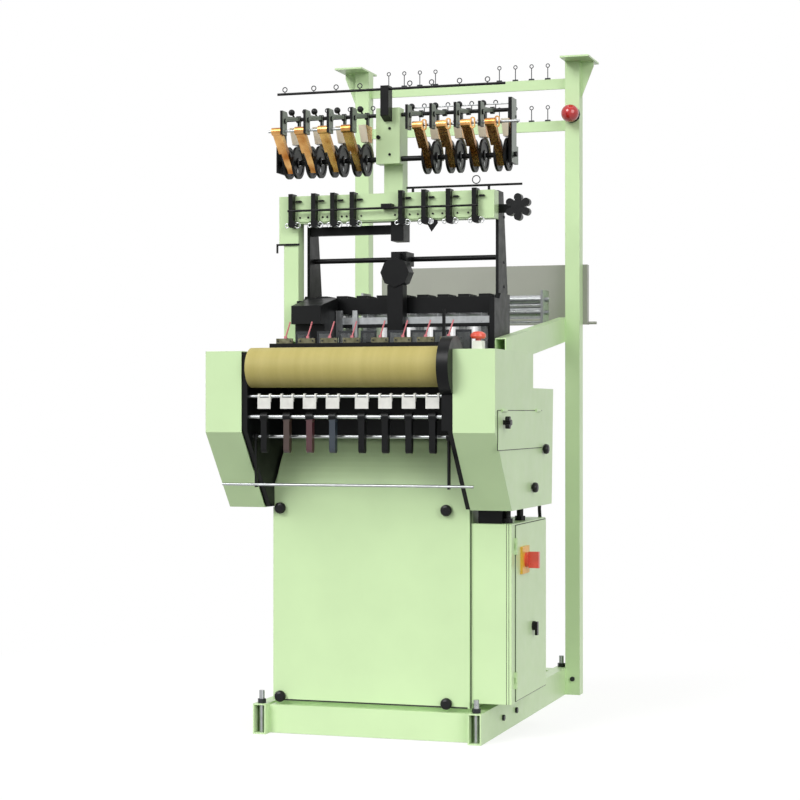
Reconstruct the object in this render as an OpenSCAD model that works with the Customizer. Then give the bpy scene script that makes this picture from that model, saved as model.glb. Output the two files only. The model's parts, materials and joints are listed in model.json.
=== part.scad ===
// Needle loom for eight narrow tapes, on a rail base with a rear creel frame.
// Places along Y are measured from the front ends of the rails; seat() moves
// them so that the origin is the centre of the four floor anchor holes.

/* [Base rails] */
// Width over the two rails
base_w = 704; // [690:2:740]
// Length of a rail
rail_len = 1130; // [1110:5:1200]
// Width of a rail
rail_w = 40; // [34:1:44]
// Height of a rail
rail_h = 90; // [80:1:100]
// Wall of the rail tube
rail_wall = 4; // [3:0.5:6]
// Height of a cross channel
channel_h = 84; // [70:1:90]
// Depth of a cross channel
channel_d = 60; // [40:1:70]
// Sheet of a cross channel
channel_t = 5; // [3:0.5:8]
// Diameter of a floor anchor hole
anchor_d = 14; // [10:0.5:18]
// Distance of an anchor hole from the rail's end
anchor_inset = 62; // [50:1:80]
// Diameter of a levelling screw
jack_d = 16; // [12:1:20]
// Distance of a levelling screw from the rail's end
jack_inset = 22; // [20:1:30]

/* [Rear frame] */
// Side of a square post
post_size = 50; // [40:1:60]
// Wall of a post
post_wall = 3; // [2:0.5:5]
// Height of a post
post_h = 2150; // [2100:10:2300]
// Reach of a top plate in front of the post
plate_front = 80; // [40:5:90]
// Reach of a top plate behind the post
plate_back = 40; // [20:5:60]
// Thickness of a top plate
plate_t = 6; // [4:0.5:10]
// Height of a creel bar
creel_bar_h = 35; // [25:1:45]
// Thickness of a creel bar
creel_bar_t = 8; // [5:0.5:12]
// Height of a side arm's section
arm_h = 80; // [60:2:90]
// Rise of a side arm for each millimetre of run
arm_slope = 0.12; // [0.08:0.01:0.14]

/* [Machine body] */
// Depth of the body casting
body_d = 481; // [470:1:500]
// Height of the flat front
front_h = 744; // [720:1:760]
// Height of the top of the body casting
body_top = 1000; // [985:1:1010]
// Wall of the body casting
body_wall = 8; // [6:0.5:12]
// Thickness of the front panel
panel_t = 3; // [1.5:0.5:5]
// Radius of a panel knob
knob_r = 17; // [12:0.5:22]
// Thickness of a side plate
side_t = 16; // [12:1:18]
// Width of the left side cover
left_cover_w = 112; // [100:1:140]
// Width of the right side cover
right_cover_w = 123; // [110:1:150]
// Sheet of a side cover
cover_t = 3; // [1.5:0.5:4]

/* [Control cabinet] */
// Width of the cabinet
cabinet_w = 126; // [110:1:150]
// Depth of the cabinet
cabinet_d = 417; // [380:1:430]
// Height of the cabinet
cabinet_h = 522; // [480:1:524]
// Sheet of the cabinet
cabinet_t = 2.5; // [1.5:0.5:4]
// Thickness of the door
door_t = 3; // [2:0.5:5]

/* [Take up] */
// Radius of the take up roller
roller_r = 58; // [50:0.5:62]
// Height of the take up roller's axis
roller_z = 1087; // [1080:1:1092]
// Radius of the take up roller's shaft
roller_shaft_r = 15; // [10:0.5:18]
// Radius of a guide rod
guide_rod_r = 5; // [3:0.5:7]
// Radius of the finger shaft
finger_shaft_r = 6; // [4:0.5:8]
// Distance between neighbouring tapes
tape_pitch = 70; // [66:1:72]
// Distance between the two middle tapes
tape_gap = 88; // [80:1:92]

/* [Sheds] */
// Number of heald frames
frames = 6; // [4:1:6]
// Distance between neighbouring heald frames
frame_pitch = 16; // [14:0.5:16]
// Thickness of a heald frame
frame_t = 9; // [6:0.5:9]
// Height of a heald frame
frame_h = 242; // [230:1:250]
// Radius of the sley shaft
sley_r = 10; // [8:0.5:12]
// Height of a reed
reed_h = 70; // [60:1:76]
// Width of a reed
reed_w = 48; // [40:1:54]

/* [Portal] */
// Height of the black side standards
standard_top = 1636; // [1600:2:1660]
// Thickness of a side standard's upper part
standard_t = 9; // [8:0.5:12]
// Height of the green beam
beam_h = 86; // [70:1:100]
// Depth of the green beam
beam_d = 50; // [40:1:60]
// Height of the centre post above the beam
centre_h = 242; // [230:2:250]

/* [Weft feeders] */
// Distance between neighbouring feeders
feeder_pitch = 75; // [72:1:78]
// Radius of a feed disc
disc_r = 50; // [46:0.5:51]
// Thickness of a feed disc
disc_t = 8; // [6:0.5:9]
// Distance between the two discs of a feeder
disc_gap = 22; // [21:0.5:24]
// Radius of the feed shaft
feed_shaft_r = 8; // [6:0.5:9]

/* [Drive] */
// Radius of the main shaft
main_shaft_r = 15; // [10:0.5:18]
// Radius of the main pulley
main_pulley_r = 92; // [84:1:95]
// Radius of the motor pulley
motor_pulley_r = 40; // [30:1:46]
// Radius of the motor
motor_r = 70; // [60:1:72]

/* [Hidden] */
$fn = 48;

green = "#cfe6b4";
black = "#26282a";
steel = "#b9bdc0";

// Clearances
run_fit = 0.05;
still_fit = 0.1;
curve_gap = 0.3;

// Widths, from the machine's centre plane
rail_in = base_w / 2 - rail_w;
rail_x = base_w / 2 - rail_w / 2;
body_x = base_w / 2 - 50;
side_x = body_x + side_t;
post_x = base_w / 2 + post_size / 2;

// Depths, from the front ends of the rails
post_y0 = rail_len - post_size;
body_y0 = 49;
body_y1 = body_y0 + body_d;
channel_ys = [58, 244, 400, rail_len - 60];

// Outline of the body casting, seen from the side
groove_z = channel_h + 13;
groove_y = body_y0 + 14;
body_outline = [[groove_y, channel_h + 2], [body_y1, channel_h + 2], [body_y1, body_top],
    [170, body_top], [170, 880], [body_y0, front_h], [body_y0, groove_z], [groove_y, groove_z]];

// Outline of a side cover, seen from the side
cover_front = -175;
cover_top = 1135;
cover_fold = 900;
cover_bottom = 675;
cover_step_y = 266;
cover_step_z = 1030;
cover_outline = [[cover_front, cover_fold], [10, cover_bottom], [505, cover_bottom],
    [526, cover_step_z], [cover_step_y, cover_step_z], [cover_step_y, cover_top],
    [cover_front, cover_top]];

// Take up and front rods
roller_y = -140;
plate_front_y = -170;
rod_y0 = -152;
rod_top_z = 1004;
finger_z = 945;
guard_y = -120;
guard_z = 888;
bar_drop = 140;
tapes = [for (side = [-1, 1], i = [0:3]) side * (tape_gap / 2 + i * tape_pitch)];
outer_tape_x0 = min(tapes);
outer_tape_x1 = max(tapes);

// Sheds
frame_y0 = 360;
frame_z0 = 1072;
frame_x = body_x - 8;
frame_low_rail = 22;
frame_stay = 18;
heald_play = 0.1;
heald_w = 1.6;
hook_pitch = 66;
hook_w = 36;
hook_h = 8;
sley_end = body_x - 24;
sley_y = 235;
sley_z = 1035;
reed_y = 160;
reed_z = 1134;
table_z0 = 1095;
table_z1 = 1125;
skirt_z = 884;
needle_rail_r = 7;
needle_rail_y = 118;
needle_rail_z = 1156;

// Portal
standard_y0 = 353;
standard_y1 = 463;
beam_y0 = standard_y0 - beam_d;
beam_z0 = standard_top - 3 - beam_h;
beam_top = beam_z0 + beam_h;
beam_x0 = -side_x - 68;
beam_x1 = body_x + standard_t;
leg_x0 = -side_x - 52;
leg_x1 = -side_x - 4;
leg_seam_z = 1482;
arm_y0 = 283;
arm_z0 = 1181;
// Places of the thread guides along the beam
guide_xs = [-339, -264, -201, -137, 20, 94, 172, 254];
guide_w = 14;
guide_y0 = beam_y0 - 26;
guide_rod_z = beam_z0 + 38;
tie_r = 8;
tie_y = 400;
tie_z = 1435;
// Inner face of the box on the left standard
left_box_x = body_x - 95;
column_x0 = -30;
column_x1 = 20;
column_y0 = 302;
column_y1 = 346;
column_head_r = 46;
column_head_z = 1388;
// Two cross bars, each with a bright strip, and two posts before the left one
cross_y = 330;
cross_t = 8;
cross_z = 1220;
cross_h = 11;
strip_t = 5;
strip_h = 22;
cross_post_z0 = 1190;
cross_post_z1 = 1274;

// Feeders
feeders = [for (side = [-1, 1], i = [0:3]) side * (feeder_pitch * 1.5 + i * feeder_pitch)];
feed_y = 280;
feed_z = 1734;
feed_bar_r = 6;
feed_bar_z = 1869;
disc_mid = 8;
lever_y = 150;
lever_z = 1815;
lever_w = 20;
lever_h = 17;
lever_pin_r = 4;
lever_tip_y = feed_y - 18;
lever_tip_z = feed_z - 30;
end_plate_x = 368;
end_plate_t = 11;
knob_y = 250;
knob_z = 1887;

// Drive
main_y = 415;
main_z = 920;
motor_y = 200;
motor_z = 740;
belt_x0 = side_x + 20;
cam_xs = [56 - body_x, body_x - 72];
belt_w = 24;

// Box between two corners
module block(x0, x1, y0, y1, z0, z1) {
    translate([x0, y0, z0]) cube([x1 - x0, y1 - y0, z1 - z0]);
}

// Round bar along X
module bar_x(r, x0, x1, y, z) {
    translate([x0, y, z]) rotate([0, 90, 0]) cylinder(r = r, h = x1 - x0);
}

// Round bar along Y
module bar_y(r, y0, y1, x, z) {
    translate([x, y1, z]) rotate([90, 0, 0]) cylinder(r = r, h = y1 - y0);
}

// Round bar along Z
module bar_z(r, z0, z1, x, y) {
    translate([x, y, z0]) cylinder(r = r, h = z1 - z0);
}

// Plate across X from an outline drawn in Y and Z
module slab_x(x0, x1) {
    translate([x0, 0, 0]) rotate([90, 0, 90]) linear_extrude(height = x1 - x0) children();
}

// Plate across Y from an outline drawn in X and Z
module slab_y(y0, y1) {
    translate([0, y1, 0]) rotate([90, 0, 0]) linear_extrude(height = y1 - y0) children();
}

// Right hand piece and its mirror image
module both_sides() {
    children();
    mirror([1, 0, 0]) children();
}

// Moves the front ends of the rails to their place before the origin
module seat() {
    translate([0, -rail_len / 2, 0]) children();
}

// Outline moved inwards by t; the points run anticlockwise
function out_n(a, b) = [b[1] - a[1], a[0] - b[0]] / norm(b - a);
function inset_at(a, b, c, t) = let (m = out_n(a, b), n = out_n(b, c)) b - t * (m + n) / (1 + m * n);
function inset(p, t) = [for (i = [0:len(p) - 1])
    inset_at(p[(i + len(p) - 1) % len(p)], p[i], p[(i + 1) % len(p)], t)];

// Height of a side arm's top at depth y
function arm_top(y) = arm_z0 + arm_slope * (y - arm_y0);

// Base

module rail_at(side) {
    x0 = rail_x - rail_w / 2;
    mirror([side < 0 ? 1 : 0, 0, 0]) difference() {
        block(x0, x0 + rail_w, 0, rail_len, 0, rail_h);
        block(x0 + rail_wall, x0 + rail_w - rail_wall, -1, rail_len + 1, rail_wall, rail_h - rail_wall);
        for (y = [anchor_inset, rail_len - anchor_inset])
            bar_z(anchor_d / 2, -1, rail_wall + 1, rail_x, y);
        for (y = [jack_inset, rail_len - jack_inset])
            bar_z(jack_d / 2 + still_fit, -1, rail_h + 1, rail_x, y);
    }
}

module left_rail() {
    color(green) seat() rail_at(-1);
}

module right_rail() {
    color(green) seat() rail_at(1);
}

module cross_channels() {
    color(green) seat() for (y = channel_ys) difference() {
        block(-rail_in, rail_in, y - channel_d / 2, y + channel_d / 2, 2, channel_h + 2);
        block(-rail_in - 1, rail_in + 1, y - channel_d / 2 + channel_t, y + channel_d / 2 + 1,
            2 + channel_t, channel_h + 2 - channel_t);
    }
}

module base_bolts() {
    nut_h = jack_d * 0.8;
    color("#4a4d50") seat() {
        for (side = [-1, 1], y = [jack_inset, rail_len - jack_inset]) {
            bar_z(jack_d / 2, 0, rail_h + 38, side * rail_x, y);
            translate([side * rail_x, y, rail_h]) cylinder(r = jack_d * 0.83, h = nut_h, $fn = 6);
        }
        both_sides() for (y = [channel_ys[1], channel_ys[2]]) {
            translate([base_w / 2, y, rail_h / 2]) rotate([0, 90, 0]) cylinder(r = 9, h = 7, $fn = 6);
        }
        both_sides() bar_y(8, post_y0 - 6, post_y0, post_x, 54);
    }
}

// Rear frame

module post_at(side) {
    x0 = base_w / 2;
    x1 = x0 + post_size;
    plate_x1 = x1 + 48;
    mirror([side < 0 ? 1 : 0, 0, 0]) {
        difference() {
            block(x0, x1, post_y0, rail_len, 0, post_h);
            block(x0 + post_wall, x1 - post_wall, post_y0 + post_wall, rail_len - post_wall,
                -1, post_h - post_wall);
        }
        difference() {
            block(x0, plate_x1, post_y0 - plate_front, rail_len + plate_back, post_h, post_h + plate_t);
            bar_z(5.5, post_h - 1, post_h + plate_t + 1, x1 + 26, post_y0 + post_size / 2);
        }
        slab_y(post_y0 + post_size / 2 - 2, post_y0 + post_size / 2 + 2)
            polygon([[x1, post_h - 125], [x1 + 44, post_h - 16], [x1 + 44, post_h], [x1, post_h]]);
    }
}

module left_post() {
    color(green) seat() post_at(-1);
}

module right_post() {
    color(green) seat() post_at(1);
}

creel_y = rail_len - 25;
creel_zs = [post_h - 89, post_h - 232];
rod_eyes = [-340, -245, -172, -95, 65, 134, 222, 309];
creel_pins = [for (side = [-1, 1], i = [0:3]) side * (115 + 57 * i)];

module creel_bars() {
    color(green) seat() for (z = creel_zs)
        block(-base_w / 2, base_w / 2, creel_y - creel_bar_t / 2, creel_y + creel_bar_t / 2,
            z, z + creel_bar_h);
}

// Wire eye in the plane across Y, on a stem from z0 up to its ring
module wire_eye(x, y, z0, z1, r) {
    bar_z(1.5, z0, z1 - r, x, y);
    translate([x, y, z1]) rotate([90, 0, 0])
        rotate_extrude($fn = 24) translate([r, 0]) circle(r = 1.5, $fn = 16);
}

module yarn_eyelets() {
    color(steel) seat() {
        for (z = creel_zs, x = creel_pins) {
            block(x - 9, x + 9, creel_y - 5, creel_y + 5, z + creel_bar_h, z + creel_bar_h + 5);
            wire_eye(x, creel_y, z + creel_bar_h + 4, z + creel_bar_h + 48, 6);
        }
        for (x = rod_eyes) wire_eye(x, top_rod_y, top_rod_z + 4, top_rod_z + 14, 7);
        wire_eye(250, beam_y0 + 16, beam_top + 20, beam_top + 34, 12);
        for (x = feeders) wire_eye(knob_at(x) + 31, feed_y, feed_bar_z + feed_bar_r, feed_bar_z + 24, 6);
    }
}

lamp_z = post_h - 182;
lamp_y = post_y0 - 35;

module alarm_lamp() {
    color("#d42020") seat() {
        translate([post_x, lamp_y, lamp_z]) sphere(r = 30);
        bar_y(22, lamp_y, post_y0, post_x, lamp_z);
    }
}

module side_arms() {
    arm_side = [[arm_y0, arm_top(arm_y0) - arm_h], [rail_len, arm_top(rail_len) - arm_h],
        [rail_len, arm_top(rail_len)], [arm_y0, arm_top(arm_y0)]];
    bore = [[arm_y0 - 1, arm_top(arm_y0 - 1) - arm_h + 3], [rail_len + 1, arm_top(rail_len + 1) - arm_h + 3],
        [rail_len + 1, arm_top(rail_len + 1) - 3], [arm_y0 - 1, arm_top(arm_y0 - 1) - 3]];
    color(green) seat() both_sides() difference() {
        slab_x(side_x, base_w / 2) polygon(arm_side);
        slab_x(side_x + 3, base_w / 2 - 3) polygon(bore);
    }
}

board_z0 = 1257;
board_z1 = 1462;

module rear_board() {
    color("#9fa196") seat() {
        block(-side_x - 2, base_w / 2 + post_size + 16, rail_len, rail_len + 3, board_z0, board_z1);
        block(base_w / 2 + post_size + 13, base_w / 2 + post_size + 16, rail_len, rail_len + 25,
            board_z0, board_z1);
        bar_x(5, base_w / 2 + post_size + 15, base_w / 2 + post_size + 45, rail_len + 14, board_z0 + 6);
    }
}

warp_y = 940;
warp_r = [15.5, 20];
warp_z = [1333, 1290];
warp_shaft_r = 8;
fixed_rod_r = 4;
fixed_rods = [[warp_y - 30, 1313], [warp_y, 1259]];
bracket_t = 8;
bracket_half = 42;
bracket_drop = 70;
bracket_top = 1364;

module roller_brackets() {
    color(steel) seat() {
        both_sides() difference() {
            block(side_x - bracket_t, side_x, warp_y - bracket_half, warp_y + bracket_half,
                arm_top(warp_y) - bracket_drop, bracket_top);
            for (z = warp_z)
                bar_x(warp_shaft_r + run_fit, side_x - bracket_t - 1, side_x + 1, warp_y, z);
            for (p = fixed_rods)
                bar_x(fixed_rod_r + still_fit, side_x - bracket_t - 1, side_x + 1, p[0], p[1]);
        }
    }
    color(black) seat() for (p = fixed_rods)
        bar_x(fixed_rod_r, -side_x + 1, side_x - 1, p[0], p[1]);
}

module warp_roller_at(i) {
    bar_x(warp_r[i], -side_x + bracket_t + 1, side_x - bracket_t - 1, warp_y, warp_z[i]);
    bar_x(warp_shaft_r, -side_x - 12, side_x + 12, warp_y, warp_z[i]);
}

module warp_roller_upper() {
    color(steel) seat() warp_roller_at(0);
}

module warp_roller_lower() {
    color(steel) seat() warp_roller_at(1);
}

// Machine body

module body_casing() {
    color(green) seat() difference() {
        union() {
            difference() {
                slab_x(-body_x, body_x) polygon(body_outline);
                slab_x(-body_x + body_wall + 2, body_x - body_wall - 2)
                    polygon(inset(body_outline, body_wall));
            }
            block(-body_x + 1, body_x - 1, 120, 290, motor_z - motor_r - 30, motor_z - motor_r - 20);
            both_sides() block(sley_end - 23, sley_end - 3, sley_y - 20, sley_y + 20,
                body_top - 1, sley_z + 20);
            both_sides() bar_x(35, body_x - 1, body_x + 12, main_y, main_z);
        }
        block(40 - body_x, body_x - 40, body_y0 - 1, body_y0 + body_wall + 1, 130, 700);
        for (x = [-180, 180])
            block(x - 8, x + 8, frame_y0 - 6, frame_y0 + frames * frame_pitch + 4, body_top - body_wall - 1,
                body_top + 1);
        bar_x(sley_r + run_fit, -sley_end - 2, sley_end + 2, sley_y, sley_z);
        bar_x(main_shaft_r + run_fit, -body_x - 13, body_x + 13, main_y, main_z);
        bar_x(20, body_x - body_wall - 3, body_x + 1, motor_y, motor_z);
    }
}

module front_panel() {
    color(green) seat() difference() {
        block(-body_x - 3, body_x + 3, body_y0 - panel_t, body_y0 + 8, groove_z, front_h);
        block(-body_x, body_x, body_y0, body_y0 + 9, groove_z - 1, front_h + 1);
        both_sides() block(body_x - 0.5, body_x + 4, body_y0 - 4, body_y0 + 9, cover_bottom, front_h + 1);
    }
}

// Feeder knob's place on its bar, and the length of its sloping stud
function knob_at(x) = x < 0 ? x + 13 : x - 47;
knob_run = norm([feed_y - knob_y, knob_z - feed_bar_z]);

// Moulded knob on a short stud, its back face at the origin and its nose along +Z
module knob(r) {
    rotate_extrude() polygon([[0, 0], [5, 0], [5, 3], [r * 0.8, 3], [r, 6], [r, 12], [r * 0.85, 17],
        [r * 0.5, 19], [0, 19]]);
}

module hand_knobs() {
    color(black) seat() {
        for (x = [-280, 237], z = [110, 672])
            translate([x, body_y0 - panel_t, z]) rotate([90, 0, 0]) knob(knob_r);
        for (p = [[390, 846], [250, 734]])
            translate([side_x + right_cover_w, p[0], p[1]]) rotate([0, 90, 0]) knob(knob_r * 0.9);
        for (x = feeders) let (k = knob_at(x)) {
            translate([k, knob_y, knob_z]) sphere(r = 10);
            translate([k, knob_y, knob_z]) rotate([-90 - atan2(knob_z - feed_bar_z, feed_y - knob_y), 0, 0])
                translate([0, 0, 4]) cylinder(r = 3, h = knob_run - 4 - feed_bar_r - still_fit);
        }
    }
}

// Bowed sheet that follows the sloping front of the body below the fingers
module apron() {
    a = [body_y0, front_h];
    b = [170, 880];
    n = out_n(b, a);
    bow = 16;
    steps = 10;
    inner = [for (i = [0:steps]) a + (b - a) * i / steps + n * bow * sin(180 * i / steps)];
    outer = [for (i = [steps:-1:0]) a + (b - a) * i / steps + n * (3 + bow * sin(180 * i / steps))];
    color(green) seat() slab_x(-body_x + 6, body_x - 6) polygon(concat(inner, outer));
}

module cover_shell(width) {
    difference() {
        slab_x(side_x, side_x + width) polygon(cover_outline);
        slab_x(side_x - 1, side_x + width - cover_t) polygon(inset(cover_outline, cover_t));
    }
}

module left_cover() {
    color(green) seat() mirror([1, 0, 0]) cover_shell(left_cover_w);
}

hatch_y0 = -150;
hatch_y1 = 370;
hatch_z0 = 852;
hatch_z1 = 962;

module right_cover() {
    x1 = side_x + right_cover_w;
    color(green) seat() difference() {
        cover_shell(right_cover_w);
        block(x1 - cover_t - 1, x1 + 1, hatch_y0 + 10, hatch_y1 - 10, hatch_z0 + 10, hatch_z1 - 10);
    }
}

module cover_hatch() {
    x1 = side_x + right_cover_w;
    color(green) seat() {
        block(x1, x1 + 3, hatch_y0, hatch_y1, hatch_z0, hatch_z1);
        for (y = [hatch_y0 + 60, hatch_y1 - 60]) bar_y(4, y - 25, y + 25, x1 + 4, hatch_z1);
    }
    color(black) seat() translate([x1 + 3, hatch_y0 + 55, hatch_z1 - 33]) rotate([0, 90, 0]) {
        cylinder(r = 7, h = 22);
        for (a = [90, 210, 330]) rotate([0, 0, a]) translate([11, 0, 8]) cylinder(r = 8, h = 13);
    }
}

side_plate_outline = [[plate_front_y, cover_fold + 4], [18, cover_bottom + 2], [240, cover_bottom + 2],
    [240, cover_top - 4], [plate_front_y, cover_top - 4]];

module side_plate_holes() {
    bar_x(roller_shaft_r + run_fit, 0, side_x + 1, roller_y, roller_z);
    bar_x(guide_rod_r + still_fit, 0, side_x + 1, rod_y0, rod_top_z);
    bar_x(finger_shaft_r + run_fit, 0, side_x + 1, rod_y0, finger_z);
    bar_x(guide_rod_r + still_fit, 0, side_x + 1, guard_y, guard_z);
    bar_x(20, 0, side_x + 1, motor_y, motor_z);
}

module left_side_plate() {
    color(black) seat() mirror([1, 0, 0]) difference() {
        slab_x(body_x, side_x) polygon(side_plate_outline);
        side_plate_holes();
    }
}

module right_side_plate() {
    color(black) seat() difference() {
        union() {
            slab_x(body_x, side_x) polygon(side_plate_outline);
            bar_x(86, body_x - 18, side_x, roller_y, roller_z);
            block(body_x - 18, body_x + 1, plate_front_y, plate_front_y + 34, cover_fold + 6, roller_z);
        }
        side_plate_holes();
    }
}

// Control cabinet

cab_x1 = body_x + cabinet_w;
cab_y0 = 58;
cab_y1 = cab_y0 + cabinet_d;
cab_z0 = 112;
cab_z1 = cab_z0 + cabinet_h;
door_y0 = cab_y0 + 42;
door_y1 = cab_y1 - 5;
door_z0 = cab_z0 + 6;
door_z1 = cab_z1 - 6;
hinge_x = cab_x1 + 4.5;
hinge_y = door_y0 - 5;
hinge_zs = [door_z0 + 60, door_z1 - 60];
latch_y = 300;
latch_z = 317;
switch_y = 190;
switch_z = 523;

module cabinet() {
    color(green) seat() {
        difference() {
            block(body_x, cab_x1, cab_y0, cab_y1, cab_z0, cab_z1);
            block(body_x + cabinet_t, cab_x1 - cabinet_t, cab_y0 + cabinet_t, cab_y1 - cabinet_t,
                cab_z0 + cabinet_t, cab_z1 - cabinet_t);
            block(cab_x1 - cabinet_t - 1, cab_x1 + 1, door_y0 + 6, door_y1 - 6, door_z0 + 6, door_z1 - 6);
        }
        for (z = hinge_zs) {
            bar_z(2.5, z - 24, z + 24, hinge_x, hinge_y);
            for (z0 = [z - 24, z + 8]) {
                bar_z(4.5, z0, z0 + 16, hinge_x, hinge_y);
                block(cab_x1 - 1, hinge_x, hinge_y - 4.5, hinge_y, z0, z0 + 16);
            }
        }
    }
}

module cabinet_door() {
    color(green) seat() difference() {
        union() {
            block(cab_x1, cab_x1 + door_t, door_y0, door_y1, door_z0, door_z1);
            for (z = hinge_zs) {
                bar_z(4.5, z - 7.5, z + 7.5, hinge_x, hinge_y);
                block(cab_x1 + 0.2, cab_x1 + door_t, hinge_y, door_y0 + 1, z - 7.5, z + 7.5);
            }
        }
        for (z = hinge_zs) bar_z(2.5 + run_fit, z - 8, z + 8, hinge_x, hinge_y);
        bar_x(5 + run_fit, cab_x1 - 1, cab_x1 + door_t + 1, latch_y, latch_z);
    }
}

module door_latch() {
    x0 = cab_x1 + door_t;
    color(black) seat() {
        bar_x(5, cab_x1 - 6, x0 + 1, latch_y, latch_z);
        block(cab_x1 - 8, cab_x1 - 5, latch_y - 7, latch_y + 22, latch_z - 7, latch_z + 7);
        bar_x(14, x0, x0 + 8, latch_y, latch_z);
        block(x0 + 8, x0 + 16, latch_y - 8, latch_y + 8, latch_z - 28, latch_z + 12);
    }
}

module switch_plate() {
    x0 = cab_x1 + door_t;
    color("#f2b83a") seat() difference() {
        block(x0, x0 + 7, switch_y - 42, switch_y + 42, switch_z - 40, switch_z + 40);
        bar_x(6 + run_fit, x0 - 1, x0 + 8, switch_y, switch_z);
    }
}

module switch_knob() {
    x0 = cab_x1 + door_t + 7;
    color("#d93a24") seat() {
        bar_x(6, x0 - 6, x0 + 2, switch_y, switch_z);
        bar_x(22, x0, x0 + 10, switch_y, switch_z);
        block(x0 + 9, x0 + 40, switch_y - 8, switch_y + 8, switch_z - 24, switch_z + 24);
    }
}

// Cable from the right cover, in a free bow, to its gland in the back of the cabinet
cable_r = 5.5;
cable_route = [[405, 492, 675], [405, 492, 655], [405, 502, 620], [405, 518, 580], [405, 530, 540],
    [405, 536, 500], [405, 534, 460], [405, 526, 420], [405, 514, 385], [405, 500, 365],
    [405, 487, 360]];

function cable_dir(i) = i == 0 ? [0, 0, -1] : i == len(cable_route) - 1 ? [0, -1, 0]
    : let (d = cable_route[i + 1] - cable_route[i - 1]) d / norm(d);
function cable_ring(i) = let (d = cable_dir(i), v = cross(d, [1, 0, 0]))
    [for (k = [0:9]) cable_route[i] + cable_r * (cos(36 * k) * [1, 0, 0] + sin(36 * k) * v)];

module cable_tube() {
    last = len(cable_route) - 1;
    points = [for (i = [0:last]) each cable_ring(i)];
    sides = [for (i = [0:last - 1], k = [0:9]) let (n = (k + 1) % 10)
        [i * 10 + k, (i + 1) * 10 + k, (i + 1) * 10 + n, i * 10 + n]];
    ends = [[for (k = [0:9]) k], [for (k = [9:-1:0]) last * 10 + k]];
    polyhedron(points, concat(sides, ends));
}

module cables() {
    color(black) seat() {
        cable_tube();
        bar_y(9, cab_y1, 487, 405, 360);
        for (y = [117, 267]) bar_z(10, cab_z1, cover_bottom, 400, y);
        block(322, 392, 80, 176, cab_z1, cover_bottom);
    }
}

// Drive

module motor() {
    color("#5a6b78") seat() difference() {
        union() {
            bar_x(motor_r, -40, 180, motor_y, motor_z);
            bar_x(motor_r * 0.8, 180, 204, motor_y, motor_z);
            block(20, 120, motor_y - 50, motor_y + 50, motor_z - motor_r - 20, motor_z - motor_r + 12);
        }
        bar_x(12 + run_fit, 150, 210, motor_y, motor_z);
    }
}

module grooved_pulley(r, y, z, bore) {
    difference() {
        union() {
            bar_x(r, belt_x0 - 2, belt_x0 + belt_w + 2, y, z);
            for (x = [belt_x0 - 6, belt_x0 + belt_w + 2]) bar_x(r + 5, x, x + 4, y, z);
        }
        bar_x(bore, belt_x0 - 7, belt_x0 + belt_w + 7, y, z);
    }
}

module motor_pulley() {
    color(steel) seat() {
        bar_x(12, 152, belt_x0 + belt_w + 10, motor_y, motor_z);
        grooved_pulley(motor_pulley_r, motor_y, motor_z, 11);
    }
}

// Outline round two circles, in Y and Z
module belt_outline(g) {
    d = [main_y - motor_y, main_z - motor_z];
    ra = motor_pulley_r + g;
    rb = main_pulley_r + g;
    dir = atan2(d[1], d[0]);
    t = acos((ra - rb) / norm(d));
    a = [motor_y, motor_z];
    b = [main_y, main_z];
    translate(a) circle(r = ra, $fn = 96);
    translate(b) circle(r = rb, $fn = 96);
    polygon([for (s = [[a, ra, t], [b, rb, t], [b, rb, -t], [a, ra, -t]])
        s[0] + s[1] * [cos(dir + s[2]), sin(dir + s[2])]]);
}

module drive_belt() {
    color(black) seat() slab_x(belt_x0, belt_x0 + belt_w) difference() {
        belt_outline(curve_gap + 4);
        belt_outline(curve_gap);
    }
}

module main_shaft() {
    color(steel) seat() {
        bar_x(main_shaft_r, -side_x - 22, belt_x0 + belt_w + 14, main_y, main_z);
        for (x = cam_xs) bar_x(40, x, x + 16, main_y - 8, main_z);
        grooved_pulley(main_pulley_r, main_y, main_z, main_shaft_r - 1);
    }
}

// Take up and front rods

module takeup_roller() {
    color("#b0a052") seat() {
        difference() {
            bar_x(roller_r, -body_x + 3, body_x - 21, roller_y, roller_z);
            bar_x(roller_r - 6, -body_x + 13, body_x - 31, roller_y, roller_z);
        }
        bar_x(roller_shaft_r, -side_x - 14, side_x + 16, roller_y, roller_z);
    }
}

module guide_rods() {
    color(steel) seat() for (p = [[rod_y0, rod_top_z], [guard_y, guard_z]])
        bar_x(guide_rod_r, -side_x + 2, side_x - 2, p[0], p[1]);
}

module tape_plates() {
    color("#e8e8e4") seat() for (x = tapes) difference() {
        union() {
            block(x - 20, x + 20, rod_y0 - 7.5, rod_y0 - 5.5, rod_top_z - 36, rod_top_z - 4);
            for (s = [-1, 1]) {
                bar_x(guide_rod_r + 3, x + s * 17 - 3, x + s * 17 + 3, rod_y0, rod_top_z);
                block(x + s * 17 - 3, x + s * 17 + 3, rod_y0 - 7.5, rod_y0, rod_top_z - 16, rod_top_z - 4);
            }
        }
        bar_x(guide_rod_r + still_fit, x - 21, x + 21, rod_y0, rod_top_z);
    }
}

module finger_shaft() {
    color(black) seat() {
        bar_x(finger_shaft_r, -side_x + 2, side_x - 2, rod_y0, finger_z);
        for (x = tapes) {
            bar_x(14, x - 11, x + 11, rod_y0, finger_z);
            block(x - 9, x + 9, rod_y0 - 10, rod_y0 + 10, finger_z - 94, finger_z);
            bar_x(10, x - 9, x + 9, rod_y0, finger_z - 94);
        }
    }
}

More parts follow.
